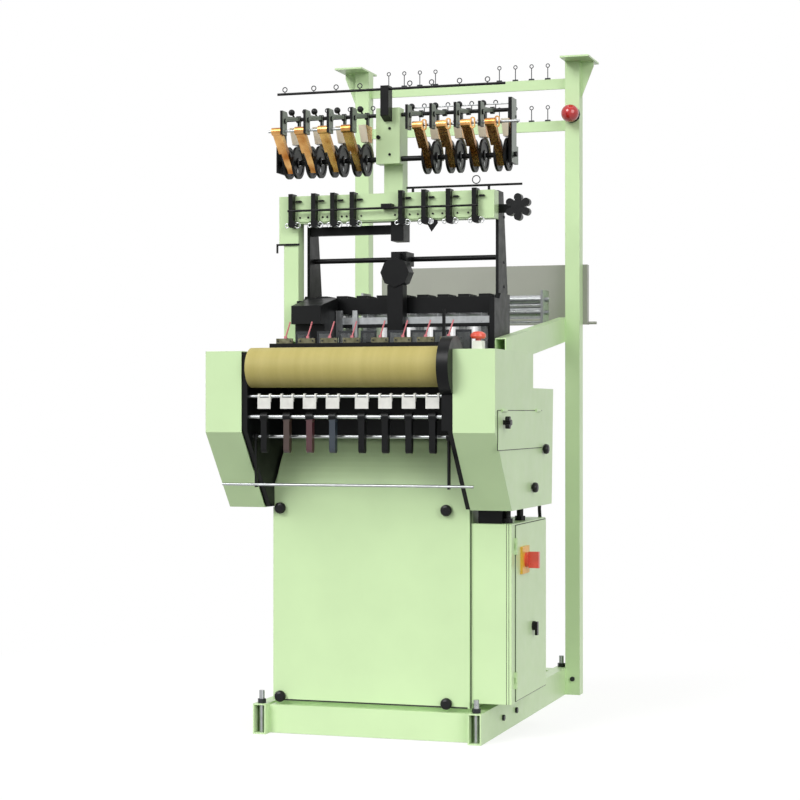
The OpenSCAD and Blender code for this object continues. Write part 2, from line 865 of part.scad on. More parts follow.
module stop_bar() {
    y1 = guard_y - 8;
    z1 = guard_z - bar_drop;
    color(steel) seat() difference() {
        union() {
            both_sides() {
                bar_x(12, body_x - 16, body_x - 4, guard_y, guard_z);
                block(body_x - 13, body_x - 7, guard_y - 9, guard_y + 5, z1 - 8, guard_z);
            }
            bar_x(4, -side_x - 78, side_x + 48, y1, z1);
        }
        both_sides() bar_x(guide_rod_r + run_fit, body_x - 17, body_x - 3, guard_y, guard_z);
    }
}

// Weaving heads

module head_at(x) {
    block(x - 22, x + 22, 10, 80, table_z1 - 1, table_z1 + 22);
    difference() {
        block(x - 26, x + 26, 4, 11, table_z1 - 1, table_z1 + 52);
        block(x - 15, x + 15, 3, 12, table_z1 + 26, table_z1 + 33);
        bar_y(2.2, 3, 12, x + 20, table_z1 + 21 + 8);
    }
    difference() {
        block(x + 14, x + 26, 30, 60, table_z1 + 21, table_z1 + 38);
        bar_y(2.2, 29, 61, x + 20, table_z1 + 29);
    }
    block(x - 26, x - 18, 38, 54, table_z1 + 5, table_z1 + stick_drop);
    block(x - 26, x + 4, 40, 52, table_z1 + stick_drop - 9, table_z1 + stick_drop);
}

stick_drop = 50;
stick_h = 48;
rail_boss_xs = [tapes[2] + 18, tapes[0] + 18, tapes[6] + 18];

module head_table() {
    color(black) seat() difference() {
        union() {
            block(-body_x, body_x, -50, 132, table_z0, table_z1);
            block(-body_x + 1, body_x - 1, 120, 132, skirt_z, table_z0 + 1);
            bar_z(5, table_z1 - 1, 1262, 213, 96);
            both_sides() block(body_x - 16, body_x, 60, 200, body_top, table_z0 + 1);
            for (x = tapes) head_at(x);
            for (x = rail_boss_xs) block(x - 6, x + 6, needle_rail_y - 12, needle_rail_y + 12,
                table_z1 - 1, needle_rail_z + 12);
        }
        for (x = rail_boss_xs) bar_x(needle_rail_r + run_fit, x - 9, x + 9, needle_rail_y, needle_rail_z);
    }
    color("#e0526a") seat() for (x = tapes) translate([x - 12, 46, table_z1 + stick_drop]) {
        cylinder(r = 5, h = 10);
        translate([0, 0, 7]) rotate([0, 18, 0]) cylinder(r = 2.2, h = stick_h);
    }
}

// Curved weft needle, level, from its clamp on the rail to its tip
module weft_needle(x) {
    bar_x(12, x - 40, x - 32, needle_rail_y, needle_rail_z);
    block(x - 39, x - 33, needle_rail_y - 4, needle_rail_y + 4, needle_rail_z, needle_rail_z + 27);
    translate([x - 36, needle_rail_y - 20, needle_rail_z + 24])
        rotate([0, 0, 10]) rotate_extrude(angle = 80, $fn = 48) translate([20, 0]) circle(r = 1.6, $fn = 16);
}

module weft_needles() {
    color(steel) seat() {
        bar_x(needle_rail_r, outer_tape_x0 - 36, outer_tape_x1 - 10, needle_rail_y, needle_rail_z);
        for (x = tapes) weft_needle(x);
    }
}

module latch_needles() {
    color(steel) seat() {
        block(outer_tape_x0 - 34, outer_tape_x1 + 34, -30, -18, table_z1 + curve_gap, table_z1 + 36);
        for (x = tapes) bar_y(1.7, -19, 66, x + 20, table_z1 + 29);
    }
}

module sley() {
    color(black) seat() {
        bar_x(sley_r, -sley_end, sley_end, sley_y, sley_z);
        block(22 - sley_end, sley_end - 22, reed_y - 8, reed_y + 20, reed_z - 22, reed_z);
        both_sides() slab_x(sley_end - 52, sley_end - 38) polygon([[sley_y - 12, sley_z - 12],
            [sley_y + 14, sley_z + 8], [reed_y + 20, reed_z - 10], [reed_y - 6, reed_z - 16]]);
        both_sides() bar_x(18, sley_end - 54, sley_end - 36, sley_y, sley_z);
    }
}

module reed_at(x) {
    dents = 9;
    difference() {
        block(x - reed_w / 2, x + reed_w / 2, reed_y, reed_y + 8, reed_z, reed_z + reed_h);
        block(x - reed_w / 2 + 5, x + reed_w / 2 - 5, reed_y - 1, reed_y + 9,
            reed_z + 7, reed_z + reed_h - 7);
    }
    for (i = [1:dents]) let (d = x - reed_w / 2 + 5 + (reed_w - 10) * i / (dents + 1))
        block(d - 0.6, d + 0.6, reed_y + 2, reed_y + 6, reed_z + 6, reed_z + reed_h - 6);
}

module reeds() {
    color(steel) seat() for (x = tapes) reed_at(x);
}

button_x = side_x + 15;
button_y = 40;
button_h = 30;

module button_box() {
    color("#d8d8d2") seat() difference() {
        block(button_x - 14, button_x + 16, button_y - 15, button_y + 15, cover_top, cover_top + button_h);
        bar_z(8 + run_fit, cover_top + 10, cover_top + button_h + 1, button_x, button_y);
    }
}

module stop_button() {
    color("#e2493c") seat() {
        bar_z(8, cover_top + 17, cover_top + button_h + 8, button_x, button_y);
        translate([button_x, button_y, cover_top + button_h + 6]) rotate_extrude()
            polygon([[0, 0], [19, 0], [23, 6], [22, 14], [14, 20], [0, 22]]);
    }
}

// Portal

standard_knee = 1322;
standard_low = [[278, 860], [standard_y1, 860], [standard_y1, standard_knee],
    [standard_y0, standard_knee], [336, 1304], [278, 1304]];
standard_high = [[standard_y0, standard_knee - 1], [standard_y1, standard_knee - 1], [standard_y1, 1330],
    [446, 1440], [412, standard_top], [standard_y0, standard_top]];
comb_z0 = 1190;
comb_z1 = 1292;

module standard() {
    difference() {
        union() {
            slab_x(body_x, side_x) polygon(standard_low);
            slab_x(body_x, body_x + standard_t) polygon(standard_high);
        }
        bar_x(36, 0, side_x + 1, main_y, main_z);
    }
    for (i = [0:frames]) let (y = frame_y0 + i * frame_pitch - (frame_pitch - frame_t) + 0.5)
        block(body_x - 16, body_x + 1, y, y + frame_pitch - frame_t - 1, comb_z0, comb_z1);
}

// Closed box of the shed motion on the left standard
left_box = [[190, 1228], [225, 1228], [225, 1141], [346, 1141], [346, 1316], [190, 1284]];

module left_standard() {
    color(black) seat() mirror([1, 0, 0]) {
        standard();
        slab_x(left_box_x, body_x + 1) polygon(left_box);
    }
}

module right_standard() {
    color(black) seat() difference() {
        union() {
            standard();
            block(body_x + standard_t - 1, star_x + 14, standard_y0, standard_y0 + 14,
                star_z - 13, star_z + 13);
        }
        bar_y(6 + run_fit, standard_y0 - 1, standard_y0 + 17, star_x, star_z);
    }
}

frame_rail = 50;

module heald_frame(i) {
    y = frame_y0 + i * frame_pitch;
    z1 = frame_z0 + frame_h;
    low_z = frame_z0 + frame_low_rail;
    high_z = z1 - frame_rail;
    block(-frame_x, frame_x, y, y + frame_t, frame_z0, low_z);
    block(-frame_x, frame_x, y, y + frame_t, high_z, z1);
    for (side = [-1, 1]) let (x = side * (frame_x - frame_stay / 2))
        block(x - frame_stay / 2, x + frame_stay / 2, y, y + frame_t,
            low_z + heald_play, high_z - heald_play);
    for (k = [-4:4]) let (x = k * hook_pitch)
        block(x - hook_w / 2, x + hook_w / 2, y + 1, y + frame_t - 1, z1 - 1, z1 + hook_h);
    for (x = tapes)
        block(x - heald_w / 2, x + heald_w / 2, y + 3, y + 6, low_z + heald_play, high_z - heald_play);
    for (x = [-180, 180]) bar_z(4, body_top - 35, frame_z0 - heald_play, x, y + frame_t / 2);
}

module heald_frames_odd() {
    color(black) seat() for (i = [0:2:frames - 1]) heald_frame(i);
}

module heald_frames_even() {
    color(black) seat() for (i = [1:2:frames - 1]) heald_frame(i);
}

tie_block_x = -25;

module tie_bars() {
    color(black) seat() {
        bar_x(tie_r, -body_x, body_x, tie_y, tie_z);
        block(-body_x, tie_block_x + 1, tie_y - 42, tie_y - 20, beam_z0 - 35, beam_z0 - 7);
        block(tie_block_x, tie_block_x + 41, beam_y0 + 20, tie_y - 12, beam_z0 - 60, beam_z0);
        for (span = [[-left_box_x, column_x0], [column_x1, body_x]]) {
            block(span[0], span[1], cross_y, cross_y + cross_t, cross_z, cross_z + cross_h);
            block(span[0], span[1], cross_y + 1, cross_y + 1 + strip_t,
                cross_z + cross_h - 1, cross_z + cross_h - 1 + strip_h);
        }
        for (post = [[13, 11], [65, 8]]) let (x = post[0] - left_box_x, half = post[1])
            block(x - half, x + half, cross_y - 8, cross_y + 2, cross_post_z0, cross_post_z1);
    }
}

module centre_column() {
    color(black) seat() difference() {
        union() {
            block(column_x0, column_x1, column_y0, column_y1, body_top, column_head_z - 38);
            slab_y(column_y0 - 4, column_y1 + 4) translate([(column_x0 + column_x1) / 2, column_head_z])
                circle(r = column_head_r, $fn = 8);
            block(column_x0, column_x1, column_y1 - 6, tie_y + 20, tie_z - 22, tie_z + 20);
            block(column_x0 + 16, column_x1 - 14, column_y0 + 4, column_y1 - 5, tie_z - 8, tie_z + 14);
        }
        bar_x(tie_r + still_fit, column_x0 - 10, column_x1 + 10, tie_y, tie_z);
    }
}

pad_r = 14;
pad_t = 3;
pad_z = beam_z0 + 18;
// From a thread guide's middle to the next pad's end
pad_inset = 12;
beam_wall = 4;

// Raised pad with round ends on the beam's front, between two thread guides
module beam_pad(x0, x1) {
    for (x = [x0 + pad_r, x1 - pad_r]) bar_y(pad_r, beam_y0 - pad_t, beam_y0 + 1, x, pad_z);
    block(x0 + pad_r, x1 - pad_r, beam_y0 - pad_t, beam_y0 + 1, pad_z - pad_r, pad_z + pad_r);
}

// Square tube beam with closed ends and a small vent below
module top_beam() {
    y1 = beam_y0 + beam_d;
    color(green) seat() {
        difference() {
            block(beam_x0, beam_x1, beam_y0, y1, beam_z0, beam_top);
            block(beam_x0 + beam_wall, beam_x1 - beam_wall, beam_y0 + beam_wall, y1 - beam_wall,
                beam_z0 + beam_wall, beam_top - beam_wall);
            bar_z(4, beam_z0 - 1, beam_z0 + beam_wall + 1, beam_x1 - 30, beam_y0 + beam_d / 2);
        }
        slab_x(leg_x0, leg_x1) polygon([[beam_y0, arm_top(beam_y0)], [y1, arm_top(y1)],
            [y1, beam_z0], [beam_y0, beam_z0]]);
        block(beam_x0, leg_x1, beam_y0, y1, leg_seam_z, beam_z0 + 1);
        for (i = [0:len(guide_xs) - 2]) beam_pad(guide_xs[i] + pad_inset, guide_xs[i + 1] - pad_inset);
    }
}

star_x = side_x + 62;
star_z = beam_z0 + 33;
star_y = 318;

// Thread guide: a bracket over the beam's height with a hook, a boss and an eye below
module thread_guide(x) {
    x0 = x - guide_w / 2;
    x1 = x + guide_w / 2;
    block(x0, x1, guide_y0, beam_y0, beam_z0 - 4, beam_top + 5);
    if (abs(x - centre_x) > 40) block(x0, x1, beam_y0 - 1, beam_y0 + 14, beam_top, beam_top + 5);
    bar_y(12, guide_y0 - 5, beam_y0 - 4, x + 6, beam_z0 - 4);
    translate([x - 12, guide_y0 + 4, beam_z0 - 8]) rotate([90, 0, 0])
        rotate_extrude() translate([6, 0]) circle(r = 2, $fn = 16);
    translate([x + 22, guide_y0 + 6, beam_z0 - 7]) rotate([90, 0, 0])
        rotate_extrude() translate([8, 0]) circle(r = 1.8, $fn = 16);
    bar_x(2, x, x + 16, guide_y0 + 6, beam_z0 - 3);
    block(x + 12, x + 28, guide_y0 + 14, beam_y0, beam_top - 20, beam_top - 15);
}

module thread_guides() {
    color(black) seat() {
        bar_x(3.5, guide_xs[0] - 10, guide_xs[7] + 12, guide_y0 + 3, guide_rod_z);
        for (x = guide_xs) thread_guide(x);
        for (i = [0:len(guide_xs) - 2], x = [guide_xs[i] + 2 * pad_inset, guide_xs[i + 1] - 2 * pad_inset])
            bar_y(3, beam_y0 - pad_t - 2, beam_y0 - pad_t, x, pad_z);
        block(-42, -8, guide_y0 - 2, beam_y0, guide_rod_z - 2, guide_rod_z + 13);
        slab_y(guide_y0 + 6, guide_y0 + 10)
            polygon([[94, beam_z0 + 4], [136, beam_z0 - 2], [138, beam_z0 - 12], [118, beam_z0 - 38]]);
        bar_x(3.5, 28, star_x + 14, beam_y0 + 16, beam_top + 16);
        for (x = [48, 290]) bar_z(4, beam_top, beam_top + 16, x, beam_y0 + 16);
        block(beam_x0 - 8, leg_x1 + 4, beam_y0 - 5, beam_y0, leg_seam_z - 3, leg_seam_z + 3);
        block(beam_x0 - 8, beam_x0 - 3, beam_y0 - 5, beam_y0, leg_seam_z - 26, leg_seam_z - 2);
    }
}

module star_wheel() {
    color(black) seat() {
        bar_y(6, star_y, standard_y0 + 16, star_x, star_z);
        bar_y(22, star_y, star_y + 26, star_x, star_z);
        for (a = [30:60:330]) bar_y(12, star_y, star_y + 24, star_x + 29 * cos(a), star_z + 29 * sin(a));
    }
}

centre_x = -10;
bearing_y0 = feed_y - 20;

module centre_post() {
    color(green) seat() difference() {
        union() {
            block(centre_x - 30, centre_x + 30, beam_y0, beam_y0 + beam_d, beam_top, beam_top + centre_h);
            block(centre_x - 42, centre_x + 34, bearing_y0, beam_y0 + 1, feed_z - 16, feed_bar_z + 20);
        }
        bar_x(feed_shaft_r + run_fit, centre_x - 43, centre_x + 35, feed_y, feed_z);
        bar_x(feed_bar_r + still_fit, centre_x - 43, centre_x + 35, feed_y, feed_bar_z);
    }
}

top_rod_y = 232;
top_rod_z = 1942;

module top_rod() {
    color(black) seat() {
        slab_x(centre_x - 16, centre_x + 10) polygon([[top_rod_y - 10, feed_bar_z - 8],
            [bearing_y0, feed_bar_z - 22], [bearing_y0, top_rod_z + 10], [top_rod_y - 10, top_rod_z + 10]]);
        bar_x(4, -364, 364, top_rod_y, top_rod_z);
        bar_y(6, bearing_y0 - 6, bearing_y0, centre_x - 34, feed_z + 66);
        for (z = [feed_z + 12, feed_z + 92]) bar_y(4, bearing_y0 - 3, bearing_y0, centre_x + 2, z);
    }
}

// Hanger from the feeder bar forward to the lever pin, with a small roller on its side
hanger_t = 8;
hanger_y0 = lever_y - 20;
hanger_y1 = lever_y + 18;
hanger_z0 = lever_z - 12;
hanger_z1 = lever_z + 61;
hanger_outline = [[hanger_y0, hanger_z0], [hanger_y1, hanger_z0], [hanger_y1, hanger_z1 - 26],
    [feed_y - 8, feed_bar_z - 6], [feed_y, feed_bar_z + 6], [hanger_y1 + 8, hanger_z1 - 12],
    [hanger_y1, hanger_z1], [hanger_y0, hanger_z1]];

module hanger(x) {
    slab_x(x, x + hanger_t) polygon(hanger_outline);
    bar_x(feed_bar_r + 5, x - 2, x + hanger_t + 2, feed_y, feed_bar_z);
    bar_x(8, x + hanger_t - 1, x + hanger_t + 5, lever_y, hanger_z1 - 30);
}

// Guard over the right disc: a block on a strap, with a band round the rim's rear
band_r = disc_r + 1.5;
guard_low = feed_z + band_r + 1;
guard_top = feed_bar_z - 33;

module guard(x) {
    slab_x(x + 14, x + 38) polygon([[feed_y - 26, guard_low], [feed_y + 10, guard_low],
        [feed_y + 10, guard_top], [feed_y - 52, guard_top]]);
    block(x + 24, x + 30, feed_y - 8, feed_y + 8, guard_top - 1, feed_bar_z);
    translate([x + 19, feed_y, feed_z]) rotate([90, 0, 90]) rotate([0, 0, -5])
        rotate_extrude(angle = 90, $fn = 72) translate([band_r, 0]) square([2.5, 12]);
}

function hanger_at(x) = x < 0 ? x + 21 : x - 30;
eye_rod_x0 = knob_at(feeders[4]) - 16;

module feeder_bar() {
    color(steel) seat() {
        bar_x(feed_bar_r, -372, end_plate_x + 1, feed_y, feed_bar_z);
        for (x = feeders) {
            hanger(hanger_at(x));
            guard(x);
        }
        bar_x(lever_pin_r, feeders[3] - 24, feeders[0] + 30, lever_y, lever_z);
        bar_x(lever_pin_r, feeders[4] - 32, end_plate_x + 60, lever_y, lever_z);
        bar_x(2, eye_rod_x0, end_plate_x + 1, knob_y + 18, knob_z - 1);
        block(eye_rod_x0, eye_rod_x0 + 4, knob_y + 15, feed_y + 2, feed_bar_z, knob_z + 3);
        difference() {
            union() {
                block(end_plate_x, end_plate_x + end_plate_t, feed_y - 28, feed_y + 29,
                    feed_z - 26, feed_bar_z + 34);
                block(end_plate_x, end_plate_x + end_plate_t, feed_y + 28, feed_y + 50,
                    feed_z - 26, feed_z + 28);
            }
            bar_x(feed_shaft_r + run_fit, end_plate_x - 1, end_plate_x + end_plate_t + 1, feed_y, feed_z);
        }
        difference() {
            slab_x(feeders[3] - 27, feeders[3] - 22) polygon([[feed_y - 58, feed_z - 36],
                [feed_y + 22, feed_z - 36], [feed_y + 22, feed_z + 44], [feed_y + 12, feed_bar_z + 8],
                [feed_y - 12, feed_bar_z + 8], [feed_y - 24, feed_z + 44], [feed_y - 58, feed_z + 44]]);
            bar_x(feed_shaft_r + run_fit, feeders[3] - 28, feeders[3] - 21, feed_y, feed_z);
        }
    }
}

// Dished disc with a hub, its lower face at the origin and its axis along Z
module disc() {
    rim = disc_r - 10;
    rotate_extrude($fn = 72) polygon([[0, -2], [16, -2], [16, 2], [rim, 2], [rim, 0], [disc_r, 0],
        [disc_r, disc_t], [rim, disc_t], [rim, disc_t - 2], [16, disc_t - 2], [16, disc_t + 1],
        [0, disc_t + 1]]);
}

module feed_shaft() {
    color(black) seat() {
        bar_x(feed_shaft_r, feeders[3] - 30, end_plate_x + end_plate_t + 10, feed_y, feed_z);
        for (x = feeders) {
            for (s = [-1, 1])
                translate([x + disc_mid + s * (disc_gap + disc_t) / 2 - disc_t / 2, feed_y, feed_z])
                    rotate([0, 90, 0]) disc();
            bar_x(9.5, x + 27, x + 29.5, feed_y, feed_z);
            bar_x(6, x + 24, x + 28.5, feed_y - 18, feed_z - 28);
        }
    }
}

// Lever: a channel on a boss, wide at its pin and narrow between the discs
lever_wide = 80;

module feed_lever(x) {
    run = [lever_tip_y - lever_y, lever_tip_z - lever_z];
    x0 = x + disc_mid - lever_w / 2;
    x1 = x0 + lever_w;
    z0 = -lever_h / 2;
    translate([0, lever_y, lever_z]) rotate([atan2(run[1], run[0]), 0, 0]) difference() {
        union() {
            block(x0, x1, 0, norm(run), z0, z0 + lever_h);
            block(x0 - 8, x1, 0, lever_wide, z0, z0 + lever_h);
        }
        block(x0 + 2.5, x1 - 2.5, 16, norm(run) - 6, z0 + 2.5, z0 + lever_h + 1);
    }
    bar_x(12, x0 - 10, x1 + 1.5, lever_y, lever_z);
    if (x > 0) slab_y(lever_y - 12, lever_y - 8) translate([x1 + 8, lever_z - 1]) difference() {
        eye_outline(8);
        eye_outline(4);
    }
}

// Upright oval, drawn in X and Z
module eye_outline(r) {
    for (z = [-9, 9]) translate([0, z]) circle(r = r);
    square([2 * r, 18], center = true);
}

module feed_levers(group) {
    difference() {
        for (x = group) feed_lever(x);
        bar_x(lever_pin_r + run_fit, min(group) - 40, max(group) + 24, lever_y, lever_z);
    }
}

module feed_levers_left() {
    color("#c8922e") seat() feed_levers([for (i = [0:3]) feeders[i]]);
}

module feed_levers_right() {
    color("#c8922e") seat() feed_levers([for (i = [4:7]) feeders[i]]);
}

left_rail();
right_rail();
cross_channels();
base_bolts();
left_post();
right_post();
creel_bars();
yarn_eyelets();
alarm_lamp();
side_arms();
rear_board();
roller_brackets();
warp_roller_upper();
warp_roller_lower();
body_casing();
front_panel();
hand_knobs();
apron();
left_cover();
right_cover();
cover_hatch();
left_side_plate();
right_side_plate();
cabinet();
cabinet_door();
door_latch();
switch_plate();
switch_knob();
cables();
motor();
motor_pulley();
drive_belt();
main_shaft();
takeup_roller();
guide_rods();
tape_plates();
finger_shaft();
stop_bar();
head_table();
weft_needles();
latch_needles();
sley();
reeds();
stop_button();
button_box();
left_standard();
right_standard();
heald_frames_odd();
heald_frames_even();
tie_bars();
centre_column();
top_beam();
thread_guides();
star_wheel();
centre_post();
top_rod();
feeder_bar();
feed_shaft();
feed_levers_left();
feed_levers_right();
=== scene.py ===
# %% [markdown]
# # A needle loom, dressed on its CAD frame
# A needle loom weaves narrow tapes, and this one weaves eight side by side. The imported CAD part brings
# every piece that has a real shape and a real size. This script gives those pieces their finishes and adds
# what is too fine for CAD: heald wires, reed dents, screws, dark strips of painted shade in gaps, joint
# lines, glands and a collar. It ends with a plain studio and a camera at the photograph's viewing angle.

# %% Load the frame
import json
import math
import bpy
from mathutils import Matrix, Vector


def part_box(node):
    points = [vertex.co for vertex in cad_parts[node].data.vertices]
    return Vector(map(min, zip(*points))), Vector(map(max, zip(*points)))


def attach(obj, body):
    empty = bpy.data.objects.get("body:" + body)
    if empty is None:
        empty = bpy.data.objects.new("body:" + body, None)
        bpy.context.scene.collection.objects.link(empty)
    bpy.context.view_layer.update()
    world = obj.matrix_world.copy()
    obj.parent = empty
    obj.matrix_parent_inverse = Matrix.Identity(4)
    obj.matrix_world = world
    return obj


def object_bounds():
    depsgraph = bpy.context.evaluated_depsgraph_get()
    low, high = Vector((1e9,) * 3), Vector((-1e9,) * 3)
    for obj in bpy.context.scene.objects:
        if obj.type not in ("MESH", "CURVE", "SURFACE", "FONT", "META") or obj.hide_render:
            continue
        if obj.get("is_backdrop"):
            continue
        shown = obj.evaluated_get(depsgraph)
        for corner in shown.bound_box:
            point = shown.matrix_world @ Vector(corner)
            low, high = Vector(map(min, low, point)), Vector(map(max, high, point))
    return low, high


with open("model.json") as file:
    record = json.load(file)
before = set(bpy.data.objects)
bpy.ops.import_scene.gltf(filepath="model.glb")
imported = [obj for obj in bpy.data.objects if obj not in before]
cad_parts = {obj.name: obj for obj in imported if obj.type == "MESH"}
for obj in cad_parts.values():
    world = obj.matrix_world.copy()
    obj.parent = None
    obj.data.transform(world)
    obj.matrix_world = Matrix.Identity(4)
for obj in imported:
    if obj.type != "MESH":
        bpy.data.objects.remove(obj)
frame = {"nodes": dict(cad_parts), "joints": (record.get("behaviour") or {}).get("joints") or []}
nodes = frame["nodes"]
low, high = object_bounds()
print("CAD box in metres:", [round(b - a, 3) for a, b in zip(low, high)])
print("CAD nodes:", len(nodes))

# %% [markdown]
# ## Measures
# A loom builder works in millimetres and counts depths from the front ends of
# the base rails, and so does the CAD source. Blender's frame is in metres, with
# its origin between the four floor anchors. Every place could be typed in that
# frame, but with three small helpers the places below read as on a drawing.

# %% From millimetres to the frame and back
RAIL_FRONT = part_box("left_rail")[0][1]


def at(x, y, z):
    """A place in millimetres, Y from the rails' front, as metres in the frame."""
    return Vector((x / 1000, y / 1000 + RAIL_FRONT, z / 1000))


def span(node):
    """A CAD node's reach along X, Y and Z in millimetres, Y from the rails' front."""
    starts = (0, RAIL_FRONT, 0)
    return tuple((round((a - start) * 1000, 3), round((b - start) * 1000, 3))
                 for a, b, start in zip(*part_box(node), starts))


def axle(joint):
    """The place (y, z) in millimetres of a joint's axis that runs along X."""
    place = next(item for item in frame["joints"] if item["name"] == joint)["pos_m"]
    return round((place[1] - RAIL_FRONT) * 1000, 3), round(place[2] * 1000, 3)


print("rails start at", round(RAIL_FRONT, 4), "m")
print("roller spans", span("takeup_roller"), "and turns about", axle("takeup_roller_spin"))

# %% [markdown]
# ## Helpers for colours and shader nodes
# Paint charts and photographs give colours as sRGB, while Blender mixes light in
# linear values, so one function turns the first into the second. A finish is a
# small tree of nodes. It could be drawn by hand in the shader editor; written
# down, with one helper that adds a node, it can be read and made again.

# %% Colours and single nodes
def linear(code):
    """An sRGB hex code as linear red, green, blue and a full alpha."""
    values = [int(code[i:i + 2], 16) / 255 for i in (1, 3, 5)]
    return tuple(v / 12.92 if v <= 0.04045 else ((v + 0.055) / 1.055) ** 2.4 for v in values) + (1.0,)


def darker(colour, share):
    """A linear colour times a share, with its alpha kept."""
    return tuple(value * share for value in colour[:3]) + (1,)


def add(tree, kind, sets=None, links=None, **settings):
    """Adds a node, sets its properties and input values and links its inputs."""
    node = tree.nodes.new(kind)
    for key, value in settings.items():
        setattr(node, key, value)
    for key, value in (sets or {}).items():
        node.inputs[key].default_value = value
    for key, socket in (links or {}).items():
        tree.links.new(socket, node.inputs[key])
    return node


def blank(name):
    """A new material with an empty tree and its output."""
    material = bpy.data.materials.new(name)
    material.use_nodes = True
    tree = material.node_tree
    tree.nodes.clear()
    return material, tree, tree.nodes.new("ShaderNodeOutputMaterial")


print("pale green in linear values:", [round(v, 3) for v in linear("#cde8b3")])

# %% [markdown]
# ### Patterns at real sizes
# Clouds in paint, grain in a mould and grinding marks all have a size that the
# eye knows. Unwrapped images could carry them; noise on object coordinates needs
# no unwrapping. The coordinates are multiplied to millimetres first, so a size
# written here is the size on the loom.

# %% Noise, ranges, mixes and bumps
def millimetres(tree):
    """Object coordinates in millimetres."""
    place = add(tree, "ShaderNodeTexCoord")
    return add(tree, "ShaderNodeVectorMath", {1: (1000, 1000, 1000)}, {0: place.outputs["Object"]},
               operation="MULTIPLY").outputs[0]


def noise(tree, vector, size, detail=2.0, stretch=(1, 1, 1), rough=0.5):
    """Noise whose blotches are about size millimetres wide; stretch draws them out along an axis."""
    scaled = add(tree, "ShaderNodeVectorMath", {1: tuple(1 / (size * s) for s in stretch)}, {0: vector},
                 operation="MULTIPLY").outputs[0]
    return add(tree, "ShaderNodeTexNoise", {"Scale": 1.0, "Detail": detail, "Roughness": rough},
               {"Vector": scaled}).outputs["Fac"]


def between(tree, factor, low_end, high_end, start=0.3, stop=0.7):
    """Maps a factor from start..stop to low_end..high_end; noise mostly lies within 0.3 to 0.7."""
    ends = {"From Min": start, "From Max": stop, "To Min": low_end, "To Max": high_end}
    return add(tree, "ShaderNodeMapRange", ends, {"Value": factor}).outputs[0]


def spread(tree, pattern, middle, shares):
    """A value that a pattern moves between two shares of its middle."""
    return between(tree, pattern, middle * shares[0], middle * shares[1])


def mixed(tree, factor, first, second):
    """Two colours mixed by a factor socket; each is a colour or a socket."""
    node = add(tree, "ShaderNodeMix", data_type="RGBA")
    sockets = {"Factor_Float": factor, "A_Color": first, "B_Color": second}
    # A Mix node has several inputs of one name, so they are found by identifier.
    for item in node.inputs:
        value = sockets.get(item.identifier)
        if hasattr(value, "links"):
            tree.links.new(value, item)
        elif value is not None:
            item.default_value = value
    return next(item for item in node.outputs if item.identifier == "Result_Color")


def bumped(tree, height, depth, normal=None):
    """A bump of the given depth in millimetres, on top of another normal where one is given."""
    links = {"Height": height}
    if normal is not None:
        links["Normal"] = normal
    return add(tree, "ShaderNodeBump", {"Strength": 1.0, "Distance": depth / 1000}, links).outputs["Normal"]

# %% [markdown]
# ## Finishes
# ### Enamel
# The frame, the sheet metal and the castings of a loom are sprayed with enamel.
# It dries with an orange peel of one to two millimetres and with faint clouds of
# tone, and over a casting the sand's grain still shows. Paint also rounds every
# edge. Bevelled meshes could show that; a Bevel node rounds the edges for the
# light alone, so the CAD meshes stay as they are.

# %% A sprayed enamel
EDGE_RADIUS = 1.6
PEEL_SIZE = 1.6
CAST_GRAIN = 3.5
GLOSS_PATCH = 35
ENAMEL_SPREAD = (0.85, 1.15)
COAT_SHARE = 0.3


def enamel(name, code, rough=0.38, shade=0.94, peel=0.012, blotch=180, cast=0.0, gloss=0.5):
    """Sprayed enamel: clouds of tone blotch wide, peel and cast are bump depths, all in millimetres."""
    material, tree, out = blank(name)
    mm = millimetres(tree)
    base = linear(code)
    clouds = between(tree, noise(tree, mm, blotch, 3), 0, 1)
    colour = mixed(tree, clouds, darker(base, shade), base)
    shine = spread(tree, noise(tree, mm, GLOSS_PATCH, 3), rough, ENAMEL_SPREAD)
    edge = add(tree, "ShaderNodeBevel", {"Radius": EDGE_RADIUS / 1000}, samples=4).outputs[0]
    normal = bumped(tree, noise(tree, mm, PEEL_SIZE, 1), peel, edge)
    if cast:
        normal = bumped(tree, noise(tree, mm, CAST_GRAIN, 4, rough=0.65), cast, normal)
    sheen = {"Coat Weight": COAT_SHARE * gloss, "Coat Roughness": 0.2, "Specular IOR Level": gloss}
    shader = add(tree, "ShaderNodeBsdfPrincipled", sheen,
                 {"Base Color": colour, "Roughness": shine, "Normal": normal})
    tree.links.new(shader.outputs[0], out.inputs[0])
    return material


# Light and even; soft reflections run along its folds.
GREEN = enamel("pale green enamel", "#cde8b3")
# Nearly black and dull, with a grain that breaks up the light.
BLACK = enamel("black satin enamel on castings", "#101112", rough=0.4, shade=0.75, peel=0.01, blotch=60,
               cast=0.03, gloss=0.14)
# Smoother than the castings, so plates and bars show a calm grey sheen.
BLACK_SHEET = enamel("black satin enamel", "#0f1011", rough=0.34, shade=0.85, gloss=0.14)
# Flat and dull, on the board behind the posts.
GREY = enamel("grey enamel", "#a0a297", rough=0.5)
# Painted reflection: a grey green for the light that the sides of the black hangers and end plate of the
# feeders catch along X; their fronts stay black.
SIDE_SHEEN_GREY = enamel("grey green painted side sheen", "#7d877b", rough=0.42)
# Dark warm and cool tones that tell the fingers apart.
BROWN = enamel("dark brown enamel", "#3d2b24", rough=0.34, shade=0.85)
WINE = enamel("dark wine enamel", "#4a2429", rough=0.34, shade=0.85)
SLATE = enamel("dark slate enamel", "#27323d", rough=0.34, shade=0.85)
# Painted highlight: a warm white for the lit faces of the gold guards over the feed discs.
LIT_FRONT_CREAM = enamel("cream painted highlight", "#fff8e2", rough=0.36)
# The usual colour of a bought motor; it stands inside the body.
MOTOR = enamel("blue grey enamel", "#5a6b78", rough=0.45)
print("enamels:", len(bpy.data.materials))

